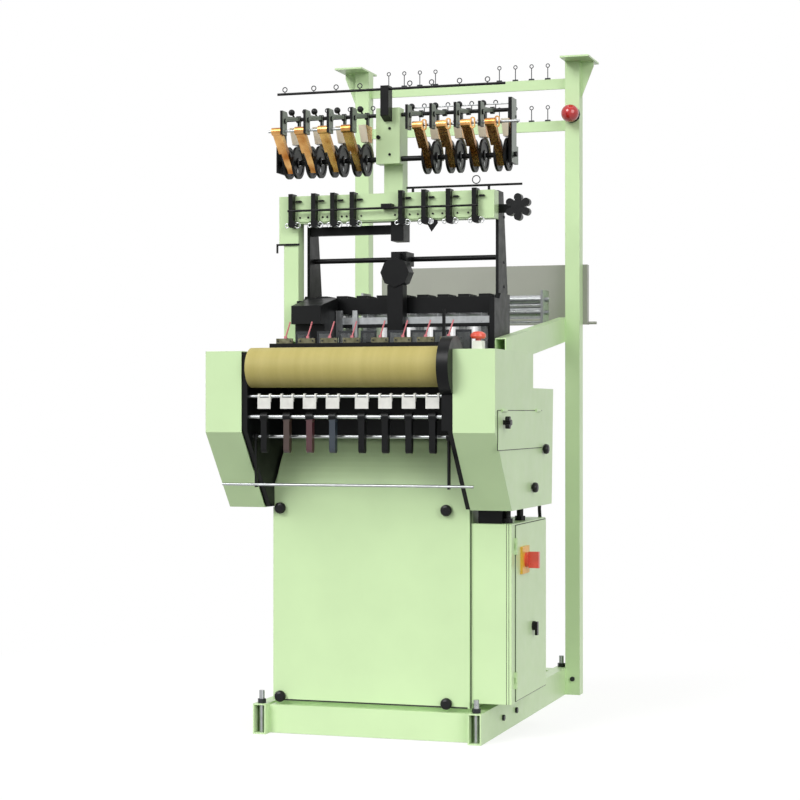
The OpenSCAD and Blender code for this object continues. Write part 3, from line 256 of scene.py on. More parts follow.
# %% [markdown]
# ### Metals
# Shafts are ground, rods are plated, and small feeder parts are zinc plated and
# passivated yellow. Grinding leaves marks along one axis, which stretched noise
# gives. Real marks are finer than a tenth of a millimetre and wouldn't show, so
# they are drawn about two millimetres wide and very shallow.

# %% Bare and plated metal
MARK_SIZE = 2.2
SMEAR_SIZE = 9
METAL_SPREAD = (0.8, 1.25)
PATCH_SHADE = 0.8
MARK_STRETCH = {None: (1, 1, 1), "X": (25, 1, 1)}


def metal(name, code, rough=0.28, line=None, scratch=0.0012, stain=None, patch=14):
    """Metal with marks along the axis line, scratch deep, and patches of another tone, in millimetres."""
    material, tree, out = blank(name)
    mm = millimetres(tree)
    base = linear(code)
    other = linear(stain) if stain else darker(base, PATCH_SHADE)
    colour = mixed(tree, between(tree, noise(tree, mm, patch, 2), 0, 1), other, base)
    shine = spread(tree, noise(tree, mm, SMEAR_SIZE, 2), rough, METAL_SPREAD)
    marks = noise(tree, mm, MARK_SIZE, 2, MARK_STRETCH[line])
    shader = add(tree, "ShaderNodeBsdfPrincipled", {"Metallic": 1.0},
                 {"Base Color": colour, "Roughness": shine, "Normal": bumped(tree, marks, scratch)})
    tree.links.new(shader.outputs[0], out.inputs[0])
    return material


# Clean and pale; the marks run along the shafts and stretch their highlights.
STEEL = metal("ground steel", "#a9acad", rough=0.34, line="X")
# Heat blackened, so it is a dark grey that still glints.
DARK_STEEL = metal("blackened steel", "#3c3e40", rough=0.42)
# The brightest metal on the loom, almost a mirror.
CHROME = metal("bright plated steel", "#d2d4d6", rough=0.18)
# Dull brown green with a soft crystal bloom.
KHAKI = metal("khaki phosphated steel", "#76745f", rough=0.5, scratch=0.003, stain="#55533f")
# Gold with orange clouds where the passivating bath stood thicker.
BRASS = metal("yellow passivated zinc", "#e6b878", rough=0.26, scratch=0.001, stain="#a5672f", patch=55)
print("with the metals:", len(bpy.data.materials))

# %% [markdown]
# ### Plastics and rubber
# Knobs, lamps, buttons, plates and cables are moulded. A mould's fine grain and
# the slight clouding of the mass are enough; a lamp's lens and a push button are
# polished, which a thin coat gives.

# %% Moulded plastic and rubber
MASS_PATCH = 22
MASS_SHADE = 0.86
TOUCH_PATCH = 12
PLASTIC_SPREAD = (0.85, 1.2)


def plastic(name, code, rough=0.35, grain=0.01, size=0.8, coat=0.0, gloss=0.5):
    """Moulded plastic or rubber; grain is the depth and size the width of the mould's grain."""
    material, tree, out = blank(name)
    mm = millimetres(tree)
    base = linear(code)
    colour = mixed(tree, between(tree, noise(tree, mm, MASS_PATCH, 2), 0, 1), darker(base, MASS_SHADE), base)
    shine = spread(tree, noise(tree, mm, TOUCH_PATCH, 2), rough, PLASTIC_SPREAD)
    sheen = {"Coat Weight": coat, "Coat Roughness": 0.08, "Specular IOR Level": gloss}
    normal = bumped(tree, noise(tree, mm, size, 1), grain)
    shader = add(tree, "ShaderNodeBsdfPrincipled", sheen,
                 {"Base Color": colour, "Roughness": shine, "Normal": normal})
    tree.links.new(shader.outputs[0], out.inputs[0])
    return material


# Deep black with small clear highlights on the knobs.
BLACK_PLASTIC = plastic("black moulded plastic", "#101112", rough=0.3, gloss=0.25)
# A polished lens: deep red under a sharp highlight.
RED = plastic("red polycarbonate", "#c01212", rough=0.18, grain=0.002, size=3, coat=0.6)
# Polished by hands, warmer and paler than the lens.
CORAL = plastic("coral red plastic", "#e4543f", rough=0.3, grain=0.004, size=2, coat=0.3)
# Pale and soft, on the small sticks of the weaving heads.
PINK = plastic("pale red plastic", "#dc7f86", rough=0.34, grain=0.004, size=2, coat=0.2)
# Plain and half matt behind the switch.
YELLOW = plastic("yellow plastic", "#f1b93c", rough=0.36)
# Slightly grey white of tape plates and the button's box.
WHITE = plastic("off white plastic", "#e4e4de", rough=0.36)
# Dull and soft, with hardly any reflection.
RUBBER = plastic("black cable sheath", "#0e0e0e", rough=0.5, gloss=0.2)
# Painted shade: a dark line for the shaded gaps round the door and the hatch and in the panel's and
# cabinet's joints; it holds no highlight.
GAP_SHADE = plastic("painted gap shade", "#23281f", rough=0.55)
print("with the plastics:", len(bpy.data.materials))

# %% [markdown]
# ### The roller's grip covering
# The take up roller pulls the woven tapes forward, so it is wrapped in an olive
# emery cloth. Its grit is under half a millimetre; it is drawn at 0.7 mm so that
# it shows. Tapes wear paler bands round the roller. They could be painted on an
# unwrapped surface; noise that changes along X alone gives them without one.

# %% Grip covering
GRIT = 0.7
GRIT_DEPTH = 0.05
BAND = 26
ROUND_THE_ROLLER = (1, 400, 400)


def grip(name, code, worn, pits):
    """Emery covering: sharp fine grain with dark pits, paler in bands where the tapes ran."""
    material, tree, out = blank(name)
    mm = millimetres(tree)
    grain = noise(tree, mm, GRIT, 2)
    bands = noise(tree, mm, BAND, 1, ROUND_THE_ROLLER)
    colour = mixed(tree, between(tree, bands, 0, 0.6), linear(code), linear(worn))
    speckled = mixed(tree, between(tree, grain, 0.0, 0.35, 0.4, 0.75), colour, linear(pits))
    shader = add(tree, "ShaderNodeBsdfPrincipled", {"Roughness": 0.55, "Specular IOR Level": 0.25},
                 {"Base Color": speckled, "Normal": bumped(tree, grain, GRIT_DEPTH)})
    tree.links.new(shader.outputs[0], out.inputs[0])
    return material


# Matt olive with a sandy sparkle and no clear reflection.
GRIP = grip("olive grip covering", "#b3a763", worn="#c2b674", pits="#6f6430")
print("all finishes:", len(bpy.data.materials))

# %% [markdown]
# ## The CAD nodes get their finishes
# Each CAD node is one piece or one group that leaves the paint shop together, so
# it has one main finish. The finishes could be assigned one by one; a list of
# nodes for each finish shows at a glance what is painted, plated or moulded.

# %% Main finishes
DRESS = {
    GREEN: "left_rail right_rail cross_channels left_post right_post creel_bars side_arms body_casing "
           "front_panel apron left_cover right_cover cover_hatch cabinet cabinet_door top_beam centre_post",
    BLACK: "left_standard right_standard tie_bars centre_column head_table sley",
    BLACK_SHEET: "left_side_plate right_side_plate heald_frames_odd heald_frames_even finger_shaft "
                 "top_rod feed_shaft thread_guides latch_needles weft_needles stop_bar feeder_bar",
    GREY: "rear_board",
    DARK_STEEL: "base_bolts yarn_eyelets reeds",
    STEEL: "roller_brackets warp_roller_upper warp_roller_lower guide_rods main_shaft motor_pulley",
    GRIP: "takeup_roller",
    BRASS: "feed_levers_left feed_levers_right",
    WHITE: "tape_plates button_box",
    BLACK_PLASTIC: "hand_knobs door_latch star_wheel",
    RED: "alarm_lamp",
    CORAL: "stop_button switch_knob",
    YELLOW: "switch_plate",
    RUBBER: "cables drive_belt",
    MOTOR: "motor",
}
for finish, names in DRESS.items():
    for name in names.split():
        mesh = nodes[name].data
        mesh.materials.clear()
        mesh.materials.append(finish)
undressed = set(nodes) - {name for names in DRESS.values() for name in names.split()}
print("nodes without a finish:", sorted(undressed))

# %% [markdown]
# ## Second finishes
# Some nodes hold small pieces of another finish, such as bright rods in a black
# group. Splitting the mesh would change the CAD piece. Instead a test on the
# middle of each face picks the faces of the small piece, and only their material
# index changes.

# %% Pick faces by their place
# The pitches are those of the CAD source, in millimetres.
TAPE_GAP = 88
TAPE_PITCH = 70
FEEDER_PITCH = 75
TAPES = [side * (TAPE_GAP / 2 + TAPE_PITCH * i) for side in (-1, 1) for i in range(4)]
FEEDERS = [side * FEEDER_PITCH * (1.5 + i) for side in (-1, 1) for i in range(4)]


def near(y, z, place, reach):
    """True where a point lies within reach of a line along X at the place (y, z)."""
    return math.hypot(y - place[0], z - place[1]) < reach


def beside(x, places, sides):
    """True where x lies between the two distances sides to the right of one of the places."""
    return any(sides[0] < x - place < sides[1] for place in places)


def second_finish(name, finish, inside):
    """Gives the faces whose middles pass the test inside(x, y, z, normal) a second finish."""
    mesh = nodes[name].data
    mesh.materials.append(finish)
    count = 0
    for face in mesh.polygons:
        x, y, z = face.center
        if inside(x * 1000, (y - RAIL_FRONT) * 1000, z * 1000, face.normal):
            face.material_index = len(mesh.materials) - 1
            count += 1
    print(name, "has", count, "faces in", finish.name)


print("tapes at", TAPES)
print("feeders at", FEEDERS)

# %% [markdown]
# ### Weaving heads
# Each of the eight heads has a phosphated face plate towards the weaver and a
# small pale red stick. Behind them the bars of the needles are black and the
# needles themselves are bright. Plates, sticks and needles belong to larger black
# pieces, so they are told apart by where they stand.

# %% Face plates, sticks and needles
TABLE_TOP = 1125
PLATE_FRONT = 3
PLATE_BACK = 11.5
STICK_FOOT = 1175.3
STICK_BACK = 90
LATCH_BAR_BACK = -17.5
NEEDLE_RAIL_TOP = 1177

second_finish("head_table", KHAKI,
              lambda x, y, z, n: PLATE_FRONT < y < PLATE_BACK and z > TABLE_TOP + 1)
second_finish("head_table", PINK, lambda x, y, z, n: z > STICK_FOOT and y < STICK_BACK)
second_finish("latch_needles", STEEL, lambda x, y, z, n: y > LATCH_BAR_BACK)
second_finish("weft_needles", CHROME, lambda x, y, z, n: z > NEEDLE_RAIL_TOP)

# %% [markdown]
# ### Take up roller, fingers and stop bar
# The covering ends before the roller's steel shaft. Below it eight fingers hang
# from a bright shaft; three of them are painted in brown, wine and slate. The
# thin stop bar in front is bright, and its two arms are black. The axles could be
# typed, but they are read from the frame's joints, where the CAD states them.

# %% Roller ends, fingers and stop bar
ROLLER_END = 299.5
ROLLER_HUB = 20
FINGER_HALF = 12
FINGER_TOP = 937
FINGER_SHAFT_REACH = 7.5
STOP_ROD = (-128, 748)
STOP_ROD_REACH = 5

roller_axle = axle("takeup_roller_spin")
finger_axle = axle("finger_shaft_turn")
second_finish("takeup_roller", STEEL,
              lambda x, y, z, n: abs(x) > ROLLER_END or near(y, z, roller_axle, ROLLER_HUB))
second_finish("finger_shaft", STEEL, lambda x, y, z, n: near(y, z, finger_axle, FINGER_SHAFT_REACH))
for finish, tape in ((BROWN, TAPES[2]), (WINE, TAPES[1]), (SLATE, TAPES[0])):
    second_finish("finger_shaft", finish,
                  lambda x, y, z, n, tape=tape: abs(x - tape) < FINGER_HALF and z < FINGER_TOP)
second_finish("stop_bar", STEEL, lambda x, y, z, n: near(y, z, STOP_ROD, STOP_ROD_REACH))

# %% [markdown]
# ### Hatch grip, levelling screws and a box in painted shade
# The hatch has a black moulded grip. The levelling screws are bright where the other bolts are black. Beside
# the conduits above the cabinet stands a box of the cable node, painted black as painted shade for the gap
# under the cover, where the cabinet's top lies in shade. All three are small parts of a larger node, picked
# as before.

# %% Grip, screws and box
HATCH_SKIN = 444.5
HATCH_HINGE = 955
JACK_X = 332
JACK_YS = (22, 1108)
JACK_REACH = 8.5
SHADED_BOX_YS = (79, 177)
SHADED_BOX_RIGHT = 393

second_finish("cover_hatch", BLACK_PLASTIC, lambda x, y, z, n: x > HATCH_SKIN and z < HATCH_HINGE)
second_finish("base_bolts", STEEL, lambda x, y, z, n: JACK_REACH > math.hypot(
    abs(x) - JACK_X, min(abs(y - jack_y) for jack_y in JACK_YS)))
# Painted shade: the box under the cover is made black for the shade between cover and cabinet.
second_finish("cables", BLACK_SHEET,
              lambda x, y, z, n: SHADED_BOX_YS[0] < y < SHADED_BOX_YS[1] and x < SHADED_BOX_RIGHT)

# %% [markdown]
# ### Heald frames and cross bars
# A heald frame is a black light metal frame, and its healds are bright steel. Two
# cross bars before the frames carry bright strips, and two bright posts stand
# before the left one. A zone of height and width is enough to tell them apart,
# because nothing else of their nodes lies in it.

# %% Healds, strips and posts
HEALD_REACH = 275
HEALD_ZONE = (1095, 1261)
CROSS_FRONT = 329.5
CROSS_TOP = 1231.5
CROSS_ZONE_TOP = 1280

for name in ("heald_frames_odd", "heald_frames_even"):
    second_finish(name, STEEL,
                  lambda x, y, z, n: abs(x) < HEALD_REACH and HEALD_ZONE[0] < z < HEALD_ZONE[1])
second_finish("tie_bars", STEEL,
              lambda x, y, z, n: z < CROSS_ZONE_TOP and (y < CROSS_FRONT or z > CROSS_TOP))

# %% [markdown]
# ### Weft feeders
# The sixteen black discs turn on one shaft, and each right hand disc has a bright cap and a small steel
# clip. Black hangers carry the pins of the levers, which are bright; the hangers' sides turned along X are
# painted grey green as a painted reflection. Guards with a gold side stand over the discs, and the rest of
# each guard is painted cream as a painted highlight. Cap, clip and guard lie at the same distance from each
# feeder, so one test serves all eight.

# %% Caps and clips of the discs
CAP_REACH = 9.8
CAP_SIDES = (26.8, 30)
CLIP_PLACE = (262, 1706)
CLIP_REACH = 6.5
CLIP_SIDES = (27.2, 29)

shaft = axle("feed_shaft_spin")
second_finish("feed_shaft", CHROME,
              lambda x, y, z, n: near(y, z, shaft, CAP_REACH) and beside(x, FEEDERS, CAP_SIDES))
second_finish("feed_shaft", STEEL,
              lambda x, y, z, n: near(y, z, CLIP_PLACE, CLIP_REACH) and beside(x, FEEDERS, CLIP_SIDES))

# %% Plates, guards and pins of the feeder bar
HANGER_BACK = 276
HANGER_FOOT = 1799
END_PLATE_LEFT = 367
GUARD_TOP = 1836.5
GUARD_FRONT = 225
GUARD_SIDES = (13.5, 38.5)
GOLD_SIDES = (37.5, 38.5)
EYE_ROD = (268, 1886)
EYE_ROD_REACH = 2.5
LEVER_PIN_REACH = 4.5
ACROSS = 0.9


def in_guard(x, y, z, sides):
    """True between the distances sides beside a feeder, within the guards' height and depth."""
    return z < GUARD_TOP and y > GUARD_FRONT and beside(x, FEEDERS, sides)


lever_pin = axle("feed_levers_left_drop")
# Painted reflection: only the faces turned along X get the grey green; fronts and edges stay black.
second_finish("feeder_bar", SIDE_SHEEN_GREY, lambda x, y, z, n: abs(n.x) > ACROSS and (
    y < HANGER_BACK and z > HANGER_FOOT or x > END_PLATE_LEFT))
# Painted highlight: the gold guards are made cream for the light on them; only their +X sides keep the gold.
second_finish("feeder_bar", LIT_FRONT_CREAM,
              lambda x, y, z, n: abs(x) < END_PLATE_LEFT - 1 and in_guard(x, y, z, GUARD_SIDES))
second_finish("feeder_bar", BRASS, lambda x, y, z, n: n.x > ACROSS and in_guard(x, y, z, GOLD_SIDES))
second_finish("feeder_bar", STEEL, lambda x, y, z, n: near(y, z, EYE_ROD, EYE_ROD_REACH) or
              near(y, z, lever_pin, LEVER_PIN_REACH))

# %% [markdown]
# ### Thread guides
# Eight black brackets on the green beam lead the weft to the heads. Each has two
# bright wire rings, a small one to the left of the bracket and a larger one to
# its right. The rings stand at fixed steps from their bracket, so the test goes
# through the brackets and the two steps.

# %% Rings of the thread guides
GUIDES = [-339, -264, -201, -137, 20, 94, 172, 254]
BEAM_FOOT = 1547
RING_YS = (278, 286)
# Step to the right, step up from the beam's foot and reach of each ring.
RINGS = [(-12, -8, 8.5), (22, -7, 10.5)]


def in_ring(x, y, z):
    """True on one of the two rings beside a thread guide."""
    return RING_YS[0] < y < RING_YS[1] and any(
        math.hypot(x - guide - right, z - BEAM_FOOT - up) < reach
        for guide in GUIDES for right, up, reach in RINGS)


second_finish("thread_guides", CHROME, lambda x, y, z, n: in_ring(x, y, z))

# %% [markdown]
# ## Fine repeated pieces
# Healds, reed dents and screws are bought by the hundred, and each kind is one
# small shape many times over. Copies could be made in a Python loop; a Geometry
# Nodes group does it with one shape and a cloud of points. It sets a bar or a pin
# on each point, joins them and gives them their finish, and its size, turn and
# finish are named inputs.

# %% A node group that sets one small shape on many places
def repeat_group(name, sides):
    """Points in; joined bars (sides 0) or pins with that many sides out."""
    group = bpy.data.node_groups.new(name, "GeometryNodeTree")
    face = group.interface
    face.new_socket("Places", in_out="INPUT", socket_type="NodeSocketGeometry")
    face.new_socket("Size", in_out="INPUT", socket_type="NodeSocketVector")
    face.new_socket("Turn", in_out="INPUT", socket_type="NodeSocketVector")
    face.new_socket("Finish", in_out="INPUT", socket_type="NodeSocketMaterial")
    face.new_socket("Pieces", in_out="OUTPUT", socket_type="NodeSocketGeometry")
    entry = group.nodes.new("NodeGroupInput")
    if sides:
        shape = add(group, "GeometryNodeMeshCylinder", {"Vertices": sides, "Radius": 0.5, "Depth": 1.0})
    else:
        shape = add(group, "GeometryNodeMeshCube")
    turn = add(group, "FunctionNodeEulerToRotation", {}, {"Euler": entry.outputs["Turn"]})
    row = add(group, "GeometryNodeInstanceOnPoints", {}, {
        "Points": entry.outputs["Places"], "Instance": shape.outputs["Mesh"],
        "Rotation": turn.outputs[0], "Scale": entry.outputs["Size"]})
    joined = add(group, "GeometryNodeRealizeInstances", {}, {"Geometry": row.outputs[0]})
    dressed = add(group, "GeometryNodeSetMaterial", {}, {
        "Geometry": joined.outputs[0], "Material": entry.outputs["Finish"]})
    leave = group.nodes.new("NodeGroupOutput")
    group.links.new(dressed.outputs[0], leave.inputs["Pieces"])
    return group


BARS = repeat_group("bars on places", 0)
PINS = repeat_group("pins on places", 12)
WIRES = repeat_group("wires on places", 6)
print("node groups:", len(bpy.data.node_groups))

# %% [markdown]
# ### From points to one plain mesh
# The modifier's inputs are set by their sockets' identifiers before the points are
# first evaluated. The result is taken as a plain mesh and the points are removed,
# so what rides on the body needs no modifier in any other program.

# %% Run a group and keep its mesh
def keep(name, mesh, body):
    """Puts a mesh whose places are already its own on the body that moves it."""
    piece = bpy.data.objects.new(name, mesh)
    bpy.context.scene.collection.objects.link(piece)
    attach(piece, body)
    return piece


def repeat(name, body, group, places, size, finish, turn=(0, 0, 0)):
    """One mesh of the group's shape at every place; size in millimetres, turn in degrees."""
    mesh = bpy.data.meshes.new(name + " places")
    mesh.from_pydata([at(*place) for place in places], [], [])
    host = bpy.data.objects.new(name + "_places", mesh)
    bpy.context.scene.collection.objects.link(host)
    work = host.modifiers.new("repeat", "NODES")
    work.node_group = group
    values = {"Size": [v / 1000 for v in size], "Turn": [math.radians(v) for v in turn], "Finish": finish}
    for item in group.interface.items_tree:
        if item.in_out == "INPUT" and item.name in values:
            work[item.identifier] = values[item.name]
    made = bpy.data.meshes.new_from_object(host.evaluated_get(bpy.context.evaluated_depsgraph_get()))
    bpy.data.objects.remove(host)
    print(name, "has", len(places), "pieces and", len(made.polygons), "faces")
    return keep(name, made, body)

# %% [markdown]
# ### Healds
# Each heald is a thin wire with an eye for one warp thread. Twelve of them stand
# over each tape in every frame and lift with it. The eye's hole is smaller than a
# pixel of the render, so a wire of six sides with a thicker middle is shape
# enough. One mesh for each set of frames keeps them with the body that lifts.

# %% Heald wires and their eyes
HEALDS_OVER_TAPE = 12
HEALD_STEP = 3.4
HEALD_SIDE = 0.8
EYE_SIZE = (1.8, 1.2, 6)
FRAME_MIDDLE = 4.5
HEALD_LOW = 1093.5
HEALD_HIGH = 1264.5

heald_middle = (HEALD_LOW + HEALD_HIGH) / 2
heald_size = (HEALD_SIDE, HEALD_SIDE, HEALD_HIGH - HEALD_LOW)
heald_xs = [tape + (k - (HEALDS_OVER_TAPE - 1) / 2) * HEALD_STEP
            for tape in TAPES for k in range(HEALDS_OVER_TAPE)]
frame_step = span("heald_frames_even")[1][0] - span("heald_frames_odd")[1][0]
for body in ("heald_frames_odd", "heald_frames_even"):
    ys = [span(body)[1][0] + FRAME_MIDDLE + 2 * frame_step * i for i in range(3)]
    healds = [(x, y, heald_middle) for y in ys for x in heald_xs]
    repeat(body + "_wires", body, WIRES, healds, heald_size, STEEL)
    repeat(body + "_eyes", body, WIRES, healds, EYE_SIZE, CHROME)

# %% [markdown]
# ### Reed dents
# A reed is a comb of thin flat wires that beats the weft up. The CAD reed has the
# frame and a few thick dents; the fine ones between them are set here, and they
# swing with the sley. A flat bar for each dent keeps them at four points a side.

# %% Reed dents
DENTS_IN_REED = 30
DENT_STEP = 1.27
DENT_WIDE = 0.35
DENT_DEEP = 3.2
REED_RIM = 6

reed_y, reed_z = span("reeds")[1:]
dent_place = (sum(reed_y) / 2, sum(reed_z) / 2)
dent_size = (DENT_WIDE, DENT_DEEP, reed_z[1] - reed_z[0] - 2 * REED_RIM)
dents = [(tape + (k - (DENTS_IN_REED - 1) / 2) * DENT_STEP, *dent_place)
         for tape in TAPES for k in range(DENTS_IN_REED)]
repeat("reed_dents", "sley", BARS, dents, dent_size, STEEL)

# %% [markdown]
# ### Screws
# Socket head screws hold the face plates of the weaving heads, the end plate of the feeders and the right
# standard. A full screw with its hexagon cut out costs many faces for a head five to nine millimetres wide.
# A short pin with a black pin of six sides set in it looks the same at that size; the black pin is painted
# shade for the socket's recess.

# %% Socket head screws
SCREW_TURNS = {"X": (0, 90, 0), "Y": (90, 0, 0)}
SOCKET_STEPS = {"X": (0.3, 0, 0), "Y": (0, -0.3, 0)}
SCREW_LONG = 4
HEAD_SCREW_WIDE = 5
FRAME_SCREW_WIDE = 9


def screws(name, body, places, axis, wide):
    """Socket head screws; axis is the one that their heads point along."""
    turn = SCREW_TURNS[axis]
    repeat(name, body, PINS, places, (wide, wide, SCREW_LONG), DARK_STEEL, turn)
    # The black pins are painted shade in the hexagon sockets.
    sockets = [tuple(p + step for p, step in zip(place, SOCKET_STEPS[axis])) for place in places]
    repeat(name + "_sockets", body, WIRES, sockets, (wide / 2, wide / 2, SCREW_LONG), BLACK_PLASTIC, turn)


# %% Screws of the heads, the end plate and the standard
HEAD_SCREW_STEPS = [(-20, 10), (20, 10), (-20, 44), (20, 44)]
HEAD_SCREW_Y = 3.5
END_PLATE_RIGHT = 379
END_PLATE_SCREWS = [(262, 1725), (300, 1850)]
STANDARD_SCREW_Y = 420
STANDARD_SCREW_ZS = (1345, 1420, 1560)

standard_face = span("top_beam")[0][1]
screws("head_screws", "machine",
       [(tape + dx, HEAD_SCREW_Y, TABLE_TOP + dz) for tape in TAPES for dx, dz in HEAD_SCREW_STEPS],
       "Y", HEAD_SCREW_WIDE)
screws("end_plate_screws", "machine",
       [(END_PLATE_RIGHT, y, z) for y, z in END_PLATE_SCREWS], "X", FRAME_SCREW_WIDE)
screws("standard_screws", "machine",
       [(standard_face, STANDARD_SCREW_Y, z) for z in STANDARD_SCREW_ZS], "X", FRAME_SCREW_WIDE)

# %% [markdown]
# ## Painted gap shade and joint lines
# The gaps around the cabinet door and along the hatch lie in shade, and dark strips of painted shade show
# them as thin lines. Strips of a millimetre or two are drawn from their own boxes, which is simpler than
# cutting a groove into the sheet, and all strips of one line are one mesh.

# %% Strips from their boxes
BOX_SIDES = ((0, 1, 3, 2), (4, 6, 7, 5), (0, 4, 5, 1), (2, 3, 7, 6), (0, 2, 6, 4), (1, 5, 7, 3))


def strips(name, boxes, finish, body="machine"):
    """Closed straight strips, each from its (x, y, z) ranges in millimetres, joined as one piece."""
    corners = []
    faces = []
    for xs, ys, zs in boxes:
        first = len(corners)
        corners += [at(x, y, z) for x in xs for y in ys for z in zs]
        faces += [[first + i for i in side] for side in BOX_SIDES]
    mesh = bpy.data.meshes.new(name)
    mesh.from_pydata(corners, [], faces)
    mesh.materials.append(finish)
    print(name, "has", len(boxes), "strips")
    return keep(name, mesh, body)


def outline(xs, ys, zs, wide):
    """Four strips around a rectangle that stands across X."""
    tall = (zs[0] - wide, zs[1] + wide)
    return [(xs, (ys[0] - wide, ys[0]), tall), (xs, (ys[1], ys[1] + wide), tall),
            (xs, ys, (zs[0] - wide, zs[0])), (xs, ys, (zs[1], zs[1] + wide))]


# %% Painted shade round the door and the hatch
DOOR_FRONT = 100
HATCH_TOP = 962
# A painted shade strip lies half a millimetre into the sheet behind it.
GAP_SHADE_SEAT = 0.5
DOOR_SHADE_OUT = 1.6
DOOR_SHADE_WIDE = 2.2
HATCH_SHADE_OUT = 1.4
HATCH_SHADE_WIDE = 2.0

door_x, door_y, door_z = span("cabinet_door")
hatch_x, hatch_y, hatch_z = span("cover_hatch")
door_shade_x = (door_x[0] - GAP_SHADE_SEAT, door_x[0] + DOOR_SHADE_OUT)
hatch_shade_x = (hatch_x[0] - GAP_SHADE_SEAT, hatch_x[0] + HATCH_SHADE_OUT)
strips("door_gap_shade", outline(door_shade_x, (DOOR_FRONT, door_y[1]), door_z, DOOR_SHADE_WIDE), GAP_SHADE)
strips("hatch_gap_shade", outline(hatch_shade_x, hatch_y, (hatch_z[0], HATCH_TOP), HATCH_SHADE_WIDE), GAP_SHADE)

# %% [markdown]
# ### Joint lines
# The front panel stands off the body by a narrow gap along its foot and its right
# edge, and the cabinet's front shows two folded joints. Cutting such gaps into
# the sheet would change the CAD pieces. Light hardly reaches into them, so thin
# dark strips look the same from every side.

# %% Joint lines of the front panel and the cabinet
JOINT_PROUD = 0.4
FOOT_JOINT_INSET = 6
FOOT_JOINT_HIGH = 4.5
SIDE_JOINT_OUT = 2.6
SIDE_JOINT_HALF = 2
# From the door's inner face to each fold of the cabinet.
FOLDS = (9, 16)
FOLD_WIDE = 1.4

panel_x, panel_y, panel_z = span("front_panel")
cabinet_y, cabinet_z = span("cabinet")[1:]
foot_joint = ((panel_x[0] + FOOT_JOINT_INSET, panel_x[1] - FOOT_JOINT_INSET),
              (panel_y[0] - JOINT_PROUD, panel_y[0] + 1), (panel_z[0], panel_z[0] + FOOT_JOINT_HIGH))
side_joint = ((panel_x[1] - 0.2, panel_x[1] + SIDE_JOINT_OUT),
              (panel_y[1] - SIDE_JOINT_HALF, panel_y[1] + SIDE_JOINT_HALF), panel_z)
fold_y = (cabinet_y[0] - JOINT_PROUD, cabinet_y[0] + 1)
folds = [((door_x[0] - fold, door_x[0] - fold + FOLD_WIDE), fold_y, cabinet_z) for fold in FOLDS]
# The joint strips use the same painted gap shade.
strips("panel_joints", [foot_joint, side_joint], GAP_SHADE)
strips("cabinet_joints", folds, GAP_SHADE)

# %% [markdown]
# ## Glands and the lamp's collar
# Two moulded glands hold the conduits where they enter the cabinet, and the alarm
# lamp sits in a black collar on the post. A gland is a nut with six flats and the
# collar is round. The groups for wires and pins have six and twelve sides, so
# each of them, made wider than it is long, gives one.

# %% Glands and collar
GLAND_PLACES = [(400, 117, 641), (400, 267, 641)]
GLAND_SIZE = (32, 32, 14)
COLLAR_SIZE = (56, 56, 7.6)
COLLAR_STEP = 4

lamp_x, lamp_y, lamp_z = span("alarm_lamp")
collar_place = (sum(lamp_x) / 2, lamp_y[1] - COLLAR_STEP, sum(lamp_z) / 2)
repeat("conduit_glands", "machine", WIRES, GLAND_PLACES, GLAND_SIZE, BLACK_PLASTIC)
repeat("lamp_collar", "machine", PINS, [collar_place], COLLAR_SIZE, BLACK_PLASTIC, SCREW_TURNS["Y"])

# %% [markdown]
# ## The studio
# ### Lamps
# The photograph was lit evenly from the front, a little stronger from the left.
# Area lamps near the loom would light its top and foot unequally. Suns give the
# same light everywhere, and a wide angle on each keeps the shadows soft.

# %% Three soft lamps
def lamp(name, towards, width, power):
    """A far soft lamp that stands in the direction towards; width is its angle in degrees."""
    data = bpy.data.lights.new(name, "SUN")
    data.angle = math.radians(width)
    data.energy = power
    thing = bpy.data.objects.new(name, data)
    thing.rotation_euler = (-Vector(towards)).to_track_quat("-Z", "Y").to_euler()
    bpy.context.scene.collection.objects.link(thing)
    thing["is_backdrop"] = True
    return thing


lamp("key", towards=(-0.4, -0.75, 0.55), width=30, power=1.9)
lamp("fill", towards=(0.7, -0.62, 0.3), width=40, power=1.3)
lamp("top", towards=(0.1, 0.0, 1.0), width=50, power=0.65)
print("lamps:", len(bpy.data.lights))

# %% [markdown]
# ### Floor and world
# The loom stands on pale paper that takes its shadow and turns plain white away
# from it. A floor and a world that are truly so bright would light the machine
# from below and make its colours pale. So the camera and reflections see the
# white, by the Light Path node, while the light that falls on the loom comes from
# a dimmer floor and a dimmer world.

# %% Rays that see the white
def seen_rays(tree):
    """1 for rays from the camera, reflections and glass, 0 for the light that falls on the loom."""
    ray = add(tree, "ShaderNodeLightPath").outputs
    clear = add(tree, "ShaderNodeMath", {}, {0: ray["Is Camera Ray"], 1: ray["Is Glossy Ray"]},
                operation="MAXIMUM")
    return add(tree, "ShaderNodeMath", {}, {0: clear.outputs[0], 1: ray["Is Transmission Ray"]},
               operation="MAXIMUM").outputs[0]


# %% The paper floor
FLOOR_REACH = 30
FLOOR_GREY = (0.26, 0.26, 0.255, 1)


def floor_piece(reach):
    """A wide flat floor; reach is half its width in metres."""
    mesh = bpy.data.meshes.new("floor")
    corners = [(x * reach, y * reach, 0) for x, y in ((-1, -1), (1, -1), (1, 1), (-1, 1))]
    mesh.from_pydata(corners, [], [(0, 1, 2, 3)])
    thing = bpy.data.objects.new("floor", mesh)
    bpy.context.scene.collection.objects.link(thing)
    thing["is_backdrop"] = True
    return thing


